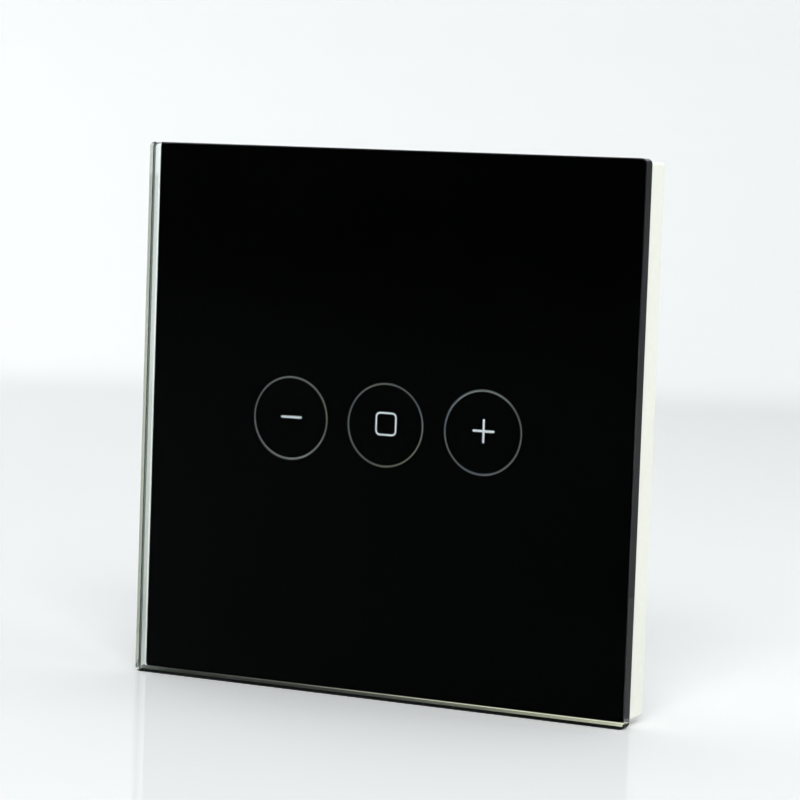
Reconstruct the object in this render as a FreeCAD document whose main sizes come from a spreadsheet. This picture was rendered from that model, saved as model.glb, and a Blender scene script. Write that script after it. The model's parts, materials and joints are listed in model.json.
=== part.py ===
import FreeCAD, Part
import math
import os
from types import SimpleNamespace

import Sketcher
from FreeCAD import Placement, Rotation, Vector

# Touch dimmer switch for a square wall box. Millimetres.
# X points right, Y into the wall and Z up. The origin is the middle of the
# wall plane, which the base's flange and the panel frame's rear edge meet.

SIZES = (
    # Glass
    ("glass_width", 86.0),
    ("glass_height", 86.0),
    ("glass_thick", 2.5),
    ("glass_corner", 0.9),
    ("glass_chamfer", 0.2),
    # How far the glass stands past the frame, because it is glued on low and to the left
    ("glass_left_lap", 1.0),
    ("glass_right_lap", 0.35),
    ("glass_top_lap", 0.5),
    ("glass_bottom_lap", 1.03),
    # Black film behind the glass, short of the frame on the left and a little higher
    ("film_left_inset", 0.25),
    ("film_top_lap", 0.45),
    ("film_bottom_lap", 0.17),
    ("film_thick", 0.1),
    ("film_corner", 0.5),
    # Printed keys
    ("key_spacing", 16.8),
    ("key_row_drop", 0.15),
    ("ring_diameter", 13.2),
    ("ring_line", 0.22),
    ("icon_span", 3.72),
    ("icon_line", 0.38),
    ("square_span", 3.72),
    ("square_line", 0.3),
    ("square_corner", 0.85),
    ("icon_shift_right", 0.13),
    ("icon_rise", 0.2),
    # Foam tape
    ("tape_thick", 0.3),
    ("tape_band", 5.0),
    ("tape_setback", 0.1),
    # Panel frame
    ("frame_depth", 5.5),
    ("frame_wall", 1.6),
    ("frame_front", 1.3),
    ("frame_corner", 0.5),
    ("frame_edge", 0.3),
    ("pry_width", 10.0),
    ("pry_depth", 1.2),
    ("clip_width", 8.0),
    ("clip_thick", 1.2),
    ("clip_spacing", 36.0),
    ("clip_inset", 4.1),
    ("clip_tip_gap", 0.6),
    ("clip_ridge", 0.2),
    ("clip_ridge_length", 0.6),
    # Touch board, its screws and what stands on it
    ("touch_board_side_lap", 0.8),
    ("touch_board_end_lap", 1.8),
    ("touch_board_thick", 1.0),
    ("board_standoff", 0.6),
    ("board_boss", 4.6),
    ("board_screw_side_inset", 2.2),
    ("board_screw_end_inset", 2.7),
    ("board_screw_shank", 1.7),
    ("board_screw_head", 3.2),
    ("board_screw_head_height", 0.9),
    ("board_screw_bite", 0.9),
    ("board_screw_slot_width", 0.5),
    ("board_screw_slot_depth", 0.4),
    ("key_rim", 1.2),
    ("light_block_wall", 1.4),
    ("spring_wire", 0.4),
    ("spring_bend", 0.42),
    ("spring_head_radius", 2.6),
    ("led_length", 1.6),
    ("led_width", 0.8),
    ("led_height", 0.6),
    ("chip_length", 9.9),
    ("chip_width", 3.9),
    ("chip_height", 1.4),
    ("chip_leg_spacing", 1.27),
    ("chip_leg_width", 0.4),
    ("chip_leg_thick", 0.2),
    ("chip_leg_reach", 1.1),
    ("chip_x", -12.0),
    ("chip_z", 15.0),
    ("radio_board_width", 13.0),
    ("radio_board_height", 18.0),
    ("radio_board_thick", 0.8),
    ("radio_x", 10.0),
    ("radio_z", 13.0),
    ("shield_margin", 1.3),
    ("shield_height", 11.0),
    ("shield_thick", 1.4),
    # Plug and socket between panel and base
    ("link_z", -20.5),
    ("link_pin_spacing", 2.0),
    ("link_pin", 0.5),
    ("link_pin_tip_gap", 1.0),
    ("link_hole_gap", 0.15),
    ("link_header_width", 2.2),
    ("link_header_height", 1.5),
    ("link_socket_width", 2.6),
    # Base frame
    ("collar_depth", 5.0),
    ("floor_thick", 1.4),
    ("flange_corner", 2.0),
    ("fixing_spacing", 60.3),
    ("fixing_slot_width", 4.2),
    ("fixing_slot_length", 6.5),
    ("fixing_seat_width", 8.2),
    ("fixing_seat_depth", 0.8),
    # Rear housing
    ("housing_width", 52.0),
    ("housing_height", 56.0),
    ("housing_wall", 1.8),
    ("housing_corner", 2.0),
    ("housing_edge", 0.6),
    ("step_height", 14.0),
    ("step_depth", 3.6),
    ("post_diameter", 6.6),
    ("post_inset", 4.7),
    ("housing_screw_shank", 2.6),
    ("housing_screw_head", 4.4),
    ("housing_screw_head_height", 1.6),
    ("housing_screw_bite", 2.6),
    ("housing_screw_cross_span", 2.4),
    ("housing_screw_cross_width", 0.6),
    ("housing_screw_cross_depth", 0.8),
    ("post_seat_height", 4.4),
    ("vent_width", 1.6),
    ("vent_length", 18.0),
    ("vent_spacing", 4.0),
    ("vent_rise", 6.0),
    ("vent_side_length", 9.0),
    ("window_margin", 0.5),
    # Power board
    ("power_board_thick", 1.6),
    # Terminals
    ("block_web", 1.4),
    ("block_side", 1.4),
    ("block_end_wall", 2.0),
    ("block_floor", 1.3),
    ("block_ledge", 0.6),
    ("cage_width", 6.5),
    ("cage_length", 5.0),
    ("cage_side", 0.9),
    ("cage_floor", 1.0),
    ("cage_top", 1.3),
    ("cage_travel", 2.5),
    ("wire_room", 4.4),
    ("contact_thick", 0.8),
    ("contact_reach", 3.2),
    ("contact_tail", 1.2),
    ("screw_thread", 3.0),
    ("screw_head", 5.4),
    ("screw_head_height", 1.6),
    ("screw_slot_width", 0.8),
    ("screw_slot_depth", 0.7),
    ("driver_gap", 0.4),
    # Electronic parts on the power board
    ("fuse_diameter", 8.4),
    ("fuse_height", 8.0),
    ("varistor_diameter", 9.0),
    ("varistor_thick", 4.2),
    ("varistor_lift", 1.4),
    ("varistor_lead_spacing", 5.0),
    ("lead_wire", 0.8),
    ("x_cap_width", 17.5),
    ("x_cap_depth", 6.0),
    ("x_cap_headroom", 2.5),
    ("choke_flange", 12.0),
    ("choke_core", 6.0),
    ("choke_height", 12.0),
    ("choke_flange_thick", 1.4),
    ("choke_winding", 10.4),
    ("bulk_diameter", 10.0),
    ("bulk_headroom", 2.6),
    ("trafo_width", 14.0),
    ("trafo_height", 13.0),
    ("trafo_core_depth", 5.0),
    ("trafo_limb", 3.0),
    ("trafo_winding_depth", 10.0),
    ("rectifier_width", 8.4),
    ("rectifier_depth", 6.4),
    ("rectifier_height", 3.0),
    ("output_diameter", 6.3),
    ("output_height", 11.0),
    ("control_length", 5.0),
    ("control_width", 4.0),
    ("control_height", 1.5),
    ("control_z", 8.0),
    ("sink_plate", 2.0),
    ("sink_fin_thick", 1.2),
    ("sink_fin_depth", 3.0),
    ("sink_fin_spacing", 5.0),
    ("transistor_spacing", 17.0),
    ("transistor_width", 10.0),
    ("transistor_tab", 1.3),
    ("transistor_body", 3.1),
    ("transistor_body_height", 9.0),
    ("transistor_tab_height", 15.0),
    ("transistor_leg", 0.8),
    ("transistor_leg_spacing", 2.54),
    ("transistor_lift", 3.4),
    ("transistor_screw_head", 5.0),
    # Clearances
    ("fit_gap", 0.05),
    ("screw_gap", 0.1),
    ("slide_gap", 0.3),
    ("contact_gap", 0.35),
    ("spring_gap", 0.9),
    ("panel_gap", 0.3),
    ("clip_gap", 0.35),
    ("board_gap", 0.6),
    ("wall_gap", 0.2),
    ("recess_gap", 0.8),
    ("part_gap", 0.8),
)

KEYS = (-1, 0, 1)
TERMINALS = (-1, 0, 1)
LINK_PINS = 8
CHIP_LEGS = 8
VENT_SLOTS = 5
SINK_FINS = 5
SPRING_TURNS = 2

# The part is written to a folder of its own.
os.makedirs("parts", exist_ok=True)
doc = FreeCAD.newDocument("touch_dimmer")


class Size:
    """A length together with the sheet formula that gives it."""

    def __init__(self, text, value):
        self.text = text
        self.value = value

    def joined(self, sign, other, value):
        return Size(f"({self.text} {sign} {other.text})", value)

    def __add__(self, other):
        other = as_size(other)
        return self.joined("+", other, self.value + other.value)

    def __radd__(self, other):
        return as_size(other) + self

    def __sub__(self, other):
        other = as_size(other)
        return self.joined("-", other, self.value - other.value)

    def __rsub__(self, other):
        return as_size(other) - self

    def __mul__(self, other):
        other = as_size(other)
        return self.joined("*", other, self.value * other.value)

    def __rmul__(self, other):
        return as_size(other) * self

    def __truediv__(self, other):
        other = as_size(other)
        return self.joined("/", other, self.value / other.value)

    def __neg__(self):
        return self * -1


def as_size(value):
    return value if isinstance(value, Size) else Size(str(float(value)), float(value))


def read_sizes():
    """Fills the sheet and returns its sizes by name."""
    sheet = doc.addObject("Spreadsheet::Sheet", "dims")
    for row, (name, value) in enumerate(SIZES, start=1):
        sheet.set(f"A{row}", name)
        sheet.set(f"B{row}", str(value))
        sheet.setAlias(f"B{row}", name)
    doc.recompute()
    names = {name: Size("dims." + name, float(sheet.getPropertyByName(name))) for name, _ in SIZES}
    return SimpleNamespace(**names)


d = read_sizes()

# Places along Y, from the front of the glass to the back of the housing
tape_front = -(d.frame_depth + d.tape_thick)
film_front = tape_front - d.film_thick
glass_front = film_front - d.glass_thick
frame_inner = -(d.frame_depth - d.frame_front)
board_front = frame_inner + d.board_standoff
board_rear = board_front + d.touch_board_thick
flange_front = board_rear + d.board_gap
floor_front = board_rear + d.radio_board_thick + d.shield_thick + d.recess_gap
floor_rear = floor_front + d.floor_thick
power_front = d.collar_depth
power_rear = power_front + d.power_board_thick
cavity_floor = power_rear + d.block_floor
cage_low = cavity_floor + d.slide_gap
contact_low = cage_low + d.cage_floor + d.wire_room
contact_high = contact_low + d.contact_thick
cage_high = contact_high + d.slide_gap + d.cage_top
cavity_end = cage_high + d.cage_travel + d.slide_gap
well_floor = cavity_end + d.block_ledge
head_low = well_floor + d.screw_gap
block_rear = head_low + d.screw_head_height + d.slide_gap
step_inner = block_rear + d.wall_gap
step_rear = step_inner + d.housing_wall
housing_rear = step_rear + d.step_depth
housing_inner_rear = housing_rear - d.housing_wall
screw_seat = power_rear + d.post_seat_height

# Places across the front
zero = as_size(0)
frame_width = d.glass_width - d.glass_left_lap - d.glass_right_lap
frame_height = d.glass_height - d.glass_top_lap - d.glass_bottom_lap
glass_x = (d.glass_right_lap - d.glass_left_lap) / 2
glass_z = (d.glass_top_lap - d.glass_bottom_lap) / 2
key_z = -d.key_row_drop
well_diameter = d.ring_diameter - d.key_rim * 2
light_block_height = well_diameter + d.light_block_wall * 2
light_block_width = light_block_height + d.key_spacing * 2
clip_z = frame_height / 2 - d.clip_inset - d.clip_thick / 2
flange_width = frame_width - d.frame_wall * 2 - d.panel_gap * 2
flange_height = frame_height - d.frame_wall * 2 - d.panel_gap * 2

# Places across the base
inner_width = d.housing_width - d.housing_wall * 2
inner_height = d.housing_height - d.housing_wall * 2
touch_board_width = inner_width + d.touch_board_side_lap * 2
touch_board_height = inner_height + d.touch_board_end_lap * 2
board_screw_x = inner_width / 2 - d.board_screw_side_inset
board_screw_z = inner_height / 2 - d.board_screw_end_inset
post_x = d.housing_width / 2 - d.post_inset
post_z = d.housing_height / 2 - d.post_inset
power_width = inner_width - d.wall_gap * 2
power_height = inner_height - d.wall_gap * 2
step_z = d.step_height - d.housing_height / 2
terminal_spacing = d.cage_width + d.slide_gap * 2 + d.block_web
driver_hole = d.screw_head + d.driver_gap * 2
contact_width = d.cage_width - d.cage_side * 2 - d.contact_gap * 2
block_width = terminal_spacing * len(TERMINALS) - d.block_web + d.block_side * 2
block_low_z = d.wall_gap - inner_height / 2
cage_low_z = block_low_z + d.slide_gap
cage_high_z = cage_low_z + d.cage_length
cage_z = cage_low_z + d.cage_length / 2
cavity_high_z = cage_high_z + d.slide_gap
contact_high_z = cage_high_z + d.contact_reach
block_high_z = contact_high_z + d.slide_gap + d.block_end_wall
link_width = d.link_pin_spacing * LINK_PINS
corner_signs = tuple((sx, sz) for sx in (-1, 1) for sz in (-1, 1))


# Building blocks from solids

ALONG = {
    "x": Rotation(Vector(0, 1, 0), 90),
    "y": Rotation(Vector(1, 0, 0), -90),
    "z": Rotation(),
}


def bind(obj, prop, size):
    obj.setExpression(prop, as_size(size).text)


def place(obj, x, y, z):
    for axis, value in zip("xyz", (x, y, z)):
        bind(obj, "Placement.Base." + axis, value)


def box(name, low, size):
    """A block given by its low corner and its size along X, Y and Z."""
    obj = doc.addObject("Part::Box", name)
    for prop, length in zip(("Length", "Width", "Height"), size):
        bind(obj, prop, length)
    place(obj, *low)
    return obj


def centred_box(name, x, z, front, size):
    """A block centred on x and z whose front face lies at a given Y."""
    width, depth, height = (as_size(length) for length in size)
    return box(name, (x - width / 2, front, z - height / 2), (width, depth, height))


def rod(name, axis, start, diameter, length):
    """A cylinder along one axis from its start point."""
    obj = doc.addObject("Part::Cylinder", name)
    obj.Placement = Placement(Vector(), ALONG[axis])
    bind(obj, "Radius", as_size(diameter) / 2)
    bind(obj, "Height", length)
    place(obj, *start)
    return obj


def unite(name, pieces):
    obj = doc.addObject("Part::MultiFuse", name)
    obj.Shapes = pieces
    return obj


def group(name, pieces):
    """Separate solids that share one node."""
    obj = doc.addObject("Part::Compound", name)
    obj.Links = pieces
    return obj


def cut(name, base, tools):
    tool = tools[0] if len(tools) == 1 else unite(name + "_tools", tools)
    obj = doc.addObject("Part::Cut", name)
    obj.Base = base
    obj.Tool = tool
    return obj


# Building blocks from sketches


def sketch_on(body, name, y=None, z=None):
    """A sketch seen from the front at a given Y, or seen from above at a given Z."""
    role = "XZ_Plane" if z is None else "XY_Plane"
    plane = next(item for item in body.Origin.OriginFeatures if item.Role == role)
    sketch = body.newObject("Sketcher::SketchObject", name)
    sketch.AttachmentSupport = (plane, [""])
    sketch.MapMode = "FlatFace"
    bind(sketch, "AttachmentOffset.Base.z", -as_size(y) if z is None else z)
    return sketch


def drive(sketch, kind, where, size):
    size = as_size(size)
    index = sketch.addConstraint(Sketcher.Constraint(kind, *where, size.value))
    sketch.setExpression(f"Constraints[{index}]", size.text)


def rectangle(sketch, left, low, width, height):
    left, low, width, height = (as_size(size) for size in (left, low, width, height))
    right = left.value + width.value
    high = low.value + height.value
    corners = [
        Vector(left.value, low.value, 0),
        Vector(right, low.value, 0),
        Vector(right, high, 0),
        Vector(left.value, high, 0),
    ]
    first = sketch.GeometryCount
    sides = [Part.LineSegment(corners[side], corners[(side + 1) % 4]) for side in range(4)]
    sketch.addGeometry(sides, False)
    for side in range(4):
        after = first + (side + 1) % 4
        sketch.addConstraint(Sketcher.Constraint("Coincident", first + side, 2, after, 1))
        kind = "Horizontal" if side % 2 == 0 else "Vertical"
        sketch.addConstraint(Sketcher.Constraint(kind, first + side))
    drive(sketch, "DistanceX", (-1, 1, first, 1), left)
    drive(sketch, "DistanceY", (-1, 1, first, 1), low)
    drive(sketch, "DistanceX", (first, 1, first, 2), width)
    drive(sketch, "DistanceY", (first + 1, 1, first + 1, 2), height)


def centred_rectangle(sketch, x, z, width, height):
    width, height = as_size(width), as_size(height)
    rectangle(sketch, x - width / 2, z - height / 2, width, height)


def circle(sketch, x, z, diameter):
    x, z, diameter = as_size(x), as_size(z), as_size(diameter)
    centre = Vector(x.value, z.value, 0)
    index = sketch.addGeometry(Part.Circle(centre, Vector(0, 0, 1), diameter.value / 2), False)
    drive(sketch, "Diameter", (index,), diameter)
    drive(sketch, "DistanceX", (-1, 1, index, 3), x)
    drive(sketch, "DistanceY", (-1, 1, index, 3), z)


def slot(sketch, x, z, length, width):
    """A slot along X with round ends."""
    x, z, length, width = (as_size(size) for size in (x, z, length, width))
    radius = width.value / 2
    half = (length.value - width.value) / 2
    left = Vector(x.value - half, z.value, 0)
    right = Vector(x.value + half, z.value, 0)
    up = Vector(0, radius, 0)
    axis = Vector(0, 0, 1)
    quarter = math.pi / 2
    first = sketch.addGeometry(Part.LineSegment(left + up, right + up), False)
    sketch.addGeometry(Part.ArcOfCircle(Part.Circle(right, axis, radius), -quarter, quarter), False)
    sketch.addGeometry(Part.LineSegment(right - up, left - up), False)
    sketch.addGeometry(
        Part.ArcOfCircle(Part.Circle(left, axis, radius), quarter, 3 * quarter), False)
    top, right_end, bottom, left_end = range(first, first + 4)
    for one, one_end, other, other_end in (
        (top, 2, right_end, 2),
        (right_end, 1, bottom, 1),
        (bottom, 2, left_end, 2),
        (left_end, 1, top, 1),
    ):
        sketch.addConstraint(Sketcher.Constraint("Tangent", one, one_end, other, other_end))
    sketch.addConstraint(Sketcher.Constraint("Horizontal", top))
    sketch.addConstraint(Sketcher.Constraint("Equal", right_end, left_end))
    drive(sketch, "Radius", (right_end,), width / 2)
    drive(sketch, "DistanceX", (left_end, 3, right_end, 3), length - width)
    drive(sketch, "DistanceX", (-1, 1, right_end, 3), x + (length - width) / 2)
    drive(sketch, "DistanceY", (-1, 1, right_end, 3), z)


def pad(body, sketch, length, backward=False):
    """Adds material towards the front, or towards the wall if backward."""
    feature = body.newObject("PartDesign::Pad", sketch.Name + "_pad")
    feature.Profile = sketch
    bind(feature, "Length", length)
    feature.Reversed = backward
    doc.recompute()


def pocket(body, sketch, depth, forward=False):
    """Cuts from the sketch into the wall's direction, or to the front if forward."""
    before = body.Shape.Volume
    feature = body.newObject("PartDesign::Pocket", sketch.Name + "_pocket")
    feature.Profile = sketch
    bind(feature, "Length", depth)
    feature.Reversed = forward
    doc.recompute()
    if body.Shape.Volume >= before:
        raise RuntimeError(f"{feature.Name} cuts nothing")


def close(one, other):
    return abs(one - other) < 1e-6


def edges_where(shape, wanted):
    """Names of the straight edges that a test on their two ends accepts."""
    names = []
    for number, edge in enumerate(shape.Edges, start=1):
        if len(edge.Vertexes) == 2 and wanted(edge.Vertexes[0].Point, edge.Vertexes[1].Point):
            names.append(f"Edge{number}")
    return names


def along_depth(one, other):
    return close(one.x, other.x) and close(one.z, other.z)


def at_y(one, other, y):
    return close(one.y, y.value) and close(other.y, y.value)


def on_outline(one, other, width, height):
    """Whether an edge lies on the sides of a centred rectangle."""
    left = close(abs(one.x), width.value / 2) and close(one.x, other.x)
    low = close(abs(one.z), height.value / 2) and close(one.z, other.z)
    return left or low


def dress(body, kind, prop, size, wanted):
    """A fillet or chamfer on the edges of the body so far."""
    tip = body.Tip
    names = edges_where(tip.Shape, wanted)
    feature = body.newObject("PartDesign::" + kind, body.Name + "_" + kind.lower())
    feature.Base = (tip, names)
    bind(feature, prop, size)
    doc.recompute()


def round_corners(body, size):
    dress(body, "Fillet", "Radius", size, along_depth)


def plate(name, x, z, width, height, front, thick, corner=None):
    """A flat sheet seen from the front, with its corners rounded if asked."""
    body = doc.addObject("PartDesign::Body", name)
    outline = sketch_on(body, name + "_outline", y=front + thick)
    centred_rectangle(outline, as_size(x), as_size(z), width, height)
    pad(body, outline, thick)
    if corner is not None:
        round_corners(body, corner)
    return body


# Front panel


def glass_panel():
    body = plate("glass_panel", glass_x, glass_z, d.glass_width, d.glass_height,
                 glass_front, d.glass_thick, d.glass_corner)

    def on_a_face(one, other):
        return at_y(one, other, glass_front) or at_y(one, other, film_front)

    dress(body, "Chamfer", "Size", d.glass_chamfer, on_a_face)
    return body


def key_places():
    return [(key, d.key_spacing * key, key_z) for key in KEYS]


def ring_inks():
    rings = []
    for key, x, z in key_places():
        outer = rod(f"ring_outer_{key + 2}", "y", (x, film_front, z), d.ring_diameter, d.film_thick)
        inner = rod(f"ring_inner_{key + 2}", "y", (x, film_front, z),
                    d.ring_diameter - d.ring_line * 2, d.film_thick)
        rings.append(cut(f"ring_{key + 2}", outer, [inner]))
    return group("ring_inks", rings)


def icon_bar(name, key, width, height):
    x = d.key_spacing * key + d.icon_shift_right
    z = key_z + d.icon_rise
    return centred_box(name, x, z, film_front, (width, d.film_thick, height))


def square_icon():
    """The outlined square of the middle key, with round corners."""
    x = d.icon_shift_right
    z = key_z + d.icon_rise
    inner_span = d.square_span - d.square_line * 2
    outer = plate("square_outer", x, z, d.square_span, d.square_span, film_front,
                  d.film_thick, d.square_corner)
    inner = plate("square_inner", x, z, inner_span, inner_span, film_front,
                  d.film_thick, d.square_corner - d.square_line)
    return cut("square_icon", outer, [inner])


def icon_inks():
    minus = icon_bar("minus_icon", -1, d.icon_span, d.icon_line)
    across = icon_bar("plus_across", 1, d.icon_span, d.icon_line)
    upright = icon_bar("plus_upright", 1, d.icon_line, d.icon_span)
    plus = unite("plus_icon", [across, upright])
    return group("icon_inks", [minus, square_icon(), plus])


def black_film(rings, icons):
    """The film, with windows that the inks fill."""
    width = frame_width - d.film_left_inset
    height = frame_height + d.film_top_lap + d.film_bottom_lap
    sheet = plate("film_sheet", d.film_left_inset / 2, (d.film_top_lap - d.film_bottom_lap) / 2,
                  width, height, film_front, d.film_thick, d.film_corner)
    return cut("black_film", sheet, [rings, icons])


def tape_frame():
    width = frame_width - d.tape_setback * 2
    height = frame_height - d.tape_setback * 2
    body = doc.addObject("PartDesign::Body", "tape_frame")
    outline = sketch_on(body, "tape_outline", y=-d.frame_depth)
    centred_rectangle(outline, zero, zero, width, height)
    centred_rectangle(outline, zero, zero, width - d.tape_band * 2, height - d.tape_band * 2)
    pad(body, outline, d.tape_thick)
    return body


def panel_frame():
    body = plate("panel_frame", 0, 0, frame_width, frame_height, -d.frame_depth,
                 d.frame_depth, d.frame_corner)

    def on_rear_rim(one, other):
        return at_y(one, other, zero) and on_outline(one, other, frame_width, frame_height)

    dress(body, "Fillet", "Radius", d.frame_edge, on_rear_rim)

    hollow = sketch_on(body, "frame_hollow", y=0)
    centred_rectangle(hollow, zero, zero, frame_width - d.frame_wall * 2,
                      frame_height - d.frame_wall * 2)
    pocket(body, hollow, d.frame_depth - d.frame_front, forward=True)

    window = sketch_on(body, "frame_window", y=-d.frame_depth)
    centred_rectangle(window, zero, key_z, light_block_width + d.wall_gap * 2,
                      light_block_height + d.wall_gap * 2)
    pocket(body, window, d.frame_front)

    bosses = sketch_on(body, "frame_bosses", y=board_front)
    pilots = sketch_on(body, "frame_pilots", y=board_front)
    for sx, sz in corner_signs:
        circle(bosses, board_screw_x * sx, board_screw_z * sz, d.board_boss)
        circle(pilots, board_screw_x * sx, board_screw_z * sz, d.board_screw_shank + d.fit_gap * 2)
    pad(body, bosses, d.board_standoff)
    pocket(body, pilots, d.board_standoff + d.board_screw_bite, forward=True)

    clips = sketch_on(body, "frame_clips", y=-d.clip_tip_gap)
    ridges = sketch_on(body, "frame_clip_ridges", y=-d.clip_tip_gap)
    for sx, sz in corner_signs:
        x = d.clip_spacing / 2 * sx
        centred_rectangle(clips, x, clip_z * sz, d.clip_width, d.clip_thick)
        centred_rectangle(ridges, x, (clip_z + d.clip_ridge / 2) * sz, d.clip_width,
                          d.clip_thick + d.clip_ridge)
    pad(body, clips, -(frame_inner + d.clip_tip_gap))
    pad(body, ridges, d.clip_ridge_length)

    notch = sketch_on(body, "frame_notch", y=0)
    centred_rectangle(notch, zero, -frame_height / 2, d.pry_width, d.frame_wall * 2)
    pocket(body, notch, d.pry_depth, forward=True)
    return body


def light_block():
    thick = board_front - tape_front
    block = centred_box("light_block_solid", zero, key_z, tape_front,
                        (light_block_width, thick, light_block_height))
    wells = [rod(f"well_{key + 2}", "y", (x, tape_front, z), well_diameter, thick)
             for key, x, z in key_places()]
    return cut("light_block", block, wells)


def arc_between(start, tangent, end):
    """The arc that leaves start along a tangent and reaches end."""
    chord = end - start
    along = Vector(chord)
    along.normalize()
    lean = tangent - along * tangent.dot(along)
    if lean.Length < 1e-9:
        return Part.LineSegment(start, end).toShape()
    angle = math.atan2(lean.Length, tangent.dot(along))
    lean.normalize()
    middle = start + chord * 0.5 + lean * (chord.Length / 2 * math.tan(angle / 2))
    return Part.Arc(start, middle, end).toShape()


def biarc(start, start_tangent, end, end_tangent):
    """Two arcs that share a tangent where they meet."""
    chord = end - start
    both = start_tangent + end_tangent
    spread = 2 * (1 - start_tangent.dot(end_tangent))
    root = math.sqrt(chord.dot(both) ** 2 + spread * chord.dot(chord))
    reach = (root - chord.dot(both)) / spread
    joint = (start + end + (start_tangent - end_tangent) * reach) * 0.5
    first = arc_between(start, start_tangent, joint)
    second = arc_between(end, end_tangent * -1, joint)
    second.reverse()
    return [first, second]


def spring_path():
    """The wire's middle line, standing on the board and rising along +Z from zero."""
    wire = d.spring_wire.value
    bend = d.spring_bend.value
    height = (board_front - tape_front).value
    foot = (well_diameter / 2 - d.spring_wire / 2 - d.spring_gap).value
    head = d.spring_head_radius.value
    steps = 4 * SPRING_TURNS
    low = wire + bend
    high = height - low

    def point(share):
        turn = 2 * math.pi * SPRING_TURNS * share
        radius = foot + (head - foot) * share
        return Vector(radius * math.cos(turn), radius * math.sin(turn), low + (high - low) * share)

    def tangent(share):
        turn = 2 * math.pi * SPRING_TURNS
        radius = foot + (head - foot) * share
        way = Vector((head - foot) * math.cos(turn * share) - radius * turn * math.sin(turn * share),
                     (head - foot) * math.sin(turn * share) + radius * turn * math.cos(turn * share),
                     high - low)
        way.normalize()
        return way

    up = Vector(0, 0, 1)
    start, start_way = point(0), tangent(0)
    end, end_way = point(1), tangent(1)
    start_swing = (up + start_way) * (bend * math.tan(up.getAngle(start_way) / 2))
    end_swing = (up + end_way) * (bend * math.tan(up.getAngle(end_way) / 2))
    foot_bend = start - start_swing
    head_bend = end + end_swing
    foot_point = Vector(foot_bend.x, foot_bend.y, 0)
    head_point = Vector(head_bend.x, head_bend.y, height)
    edges = [Part.LineSegment(foot_point, foot_bend).toShape(), arc_between(foot_bend, up, start)]
    for step in range(steps):
        here, there = step / steps, (step + 1) / steps
        edges += biarc(point(here), tangent(here), point(there), tangent(there))
    edges += [arc_between(end, end_way, head_bend), Part.LineSegment(head_bend, head_point).toShape()]
    return Part.Wire(edges), foot_point


def print_spring_gap(path):
    """Least distance between turns of the wire, measured on points of its path."""
    wire = d.spring_wire.value
    step = wire / 4
    points = path.discretize(Distance=step)
    apart = int(3 * wire / step)
    least = min((points[one] - points[other]).Length
                for one in range(len(points))
                for other in range(one + apart * 2, len(points)))
    print(f"spring: least gap to itself {least - wire:.2f} mm")


def touch_springs():
    path, foot_point = spring_path()
    print_spring_gap(path)
    radius = d.spring_wire.value / 2
    ring = Part.Wire(Part.Circle(foot_point, Vector(0, 0, 1), radius).toShape())
    coil = path.makePipeShell([ring], True, False)
    expected = math.pi * radius ** 2 * path.Length
    print(f"spring: volume {coil.Volume:.3f}, section times length {expected:.3f} mm3")
    coils = []
    towards_front = Rotation(Vector(1, 0, 0), 90)
    for key, x, z in key_places():
        place_of_coil = Placement(Vector(x.value, board_front.value, z.value), towards_front)
        coils.append(coil.transformed(place_of_coil.toMatrix(), True))
    springs = doc.addObject("Part::Feature", "touch_springs")
    springs.Shape = Part.makeCompound(coils)
    springs.Placement = Placement()
    return springs


def indicator_leds():
    return group("indicator_leds", [
        centred_box(f"led_{key + 2}", x, z, board_front - d.led_height,
                    (d.led_length, d.led_height, d.led_width))
        for key, x, z in key_places()])


def touch_board():
    body = plate("touch_board", 0, 0, touch_board_width, touch_board_height,
                 board_front, d.touch_board_thick)
    holes = sketch_on(body, "touch_board_holes", y=board_front)
    for sx, sz in corner_signs:
        circle(holes, board_screw_x * sx, board_screw_z * sz, d.board_screw_shank + d.screw_gap * 2)
    pocket(body, holes, d.touch_board_thick)
    return body


def board_screws():
    length = d.touch_board_thick + d.board_standoff + d.board_screw_bite - d.screw_gap
    screws = []
    for number, (sx, sz) in enumerate(corner_signs, start=1):
        x, z = board_screw_x * sx, board_screw_z * sz
        head = rod(f"board_screw_head_{number}", "y", (x, board_rear, z),
                   d.board_screw_head, d.board_screw_head_height)
        shank = rod(f"board_screw_shank_{number}", "y", (x, board_rear - length, z),
                    d.board_screw_shank, length)
        solid = unite(f"board_screw_solid_{number}", [head, shank])
        drive_slot = centred_box(f"board_screw_slot_{number}", x, z,
                                 board_rear + d.board_screw_head_height - d.board_screw_slot_depth,
                                 (d.board_screw_head, d.board_screw_slot_depth,
                                  d.board_screw_slot_width))
        screws.append(cut(f"board_screw_{number}", solid, [drive_slot]))
    return group("board_screws", screws)


def touch_chip():
    """A moulded chip with gull-wing legs along both long sides."""
    pieces = [centred_box("chip_body", d.chip_x, d.chip_z, board_rear,
                          (d.chip_length, d.chip_height, d.chip_width))]
    for number in range(CHIP_LEGS):
        x = d.chip_x + d.chip_leg_spacing * (number - (CHIP_LEGS - 1) / 2)
        pieces.append(centred_box(f"chip_legs_{number + 1}", x, d.chip_z, board_rear,
                                  (d.chip_leg_width, d.chip_leg_thick,
                                   d.chip_width + d.chip_leg_reach * 2)))
    return unite("touch_chip", pieces)


def radio_board():
    return centred_box("radio_board", d.radio_x, d.radio_z, board_rear,
                       (d.radio_board_width, d.radio_board_thick, d.radio_board_height))


def radio_shield():
    """The can over the radio's circuits, at the lower end of its board."""
    low_x = d.radio_x - d.radio_board_width / 2 + d.shield_margin
    low_z = d.radio_z - d.radio_board_height / 2 + d.shield_margin
    return box("radio_shield", (low_x, board_rear + d.radio_board_thick, low_z),
               (d.radio_board_width - d.shield_margin * 2, d.shield_thick, d.shield_height))


def link_places():
    middle = (LINK_PINS - 1) / 2
    return [(number, d.link_pin_spacing * (number - middle)) for number in range(LINK_PINS)]


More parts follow.
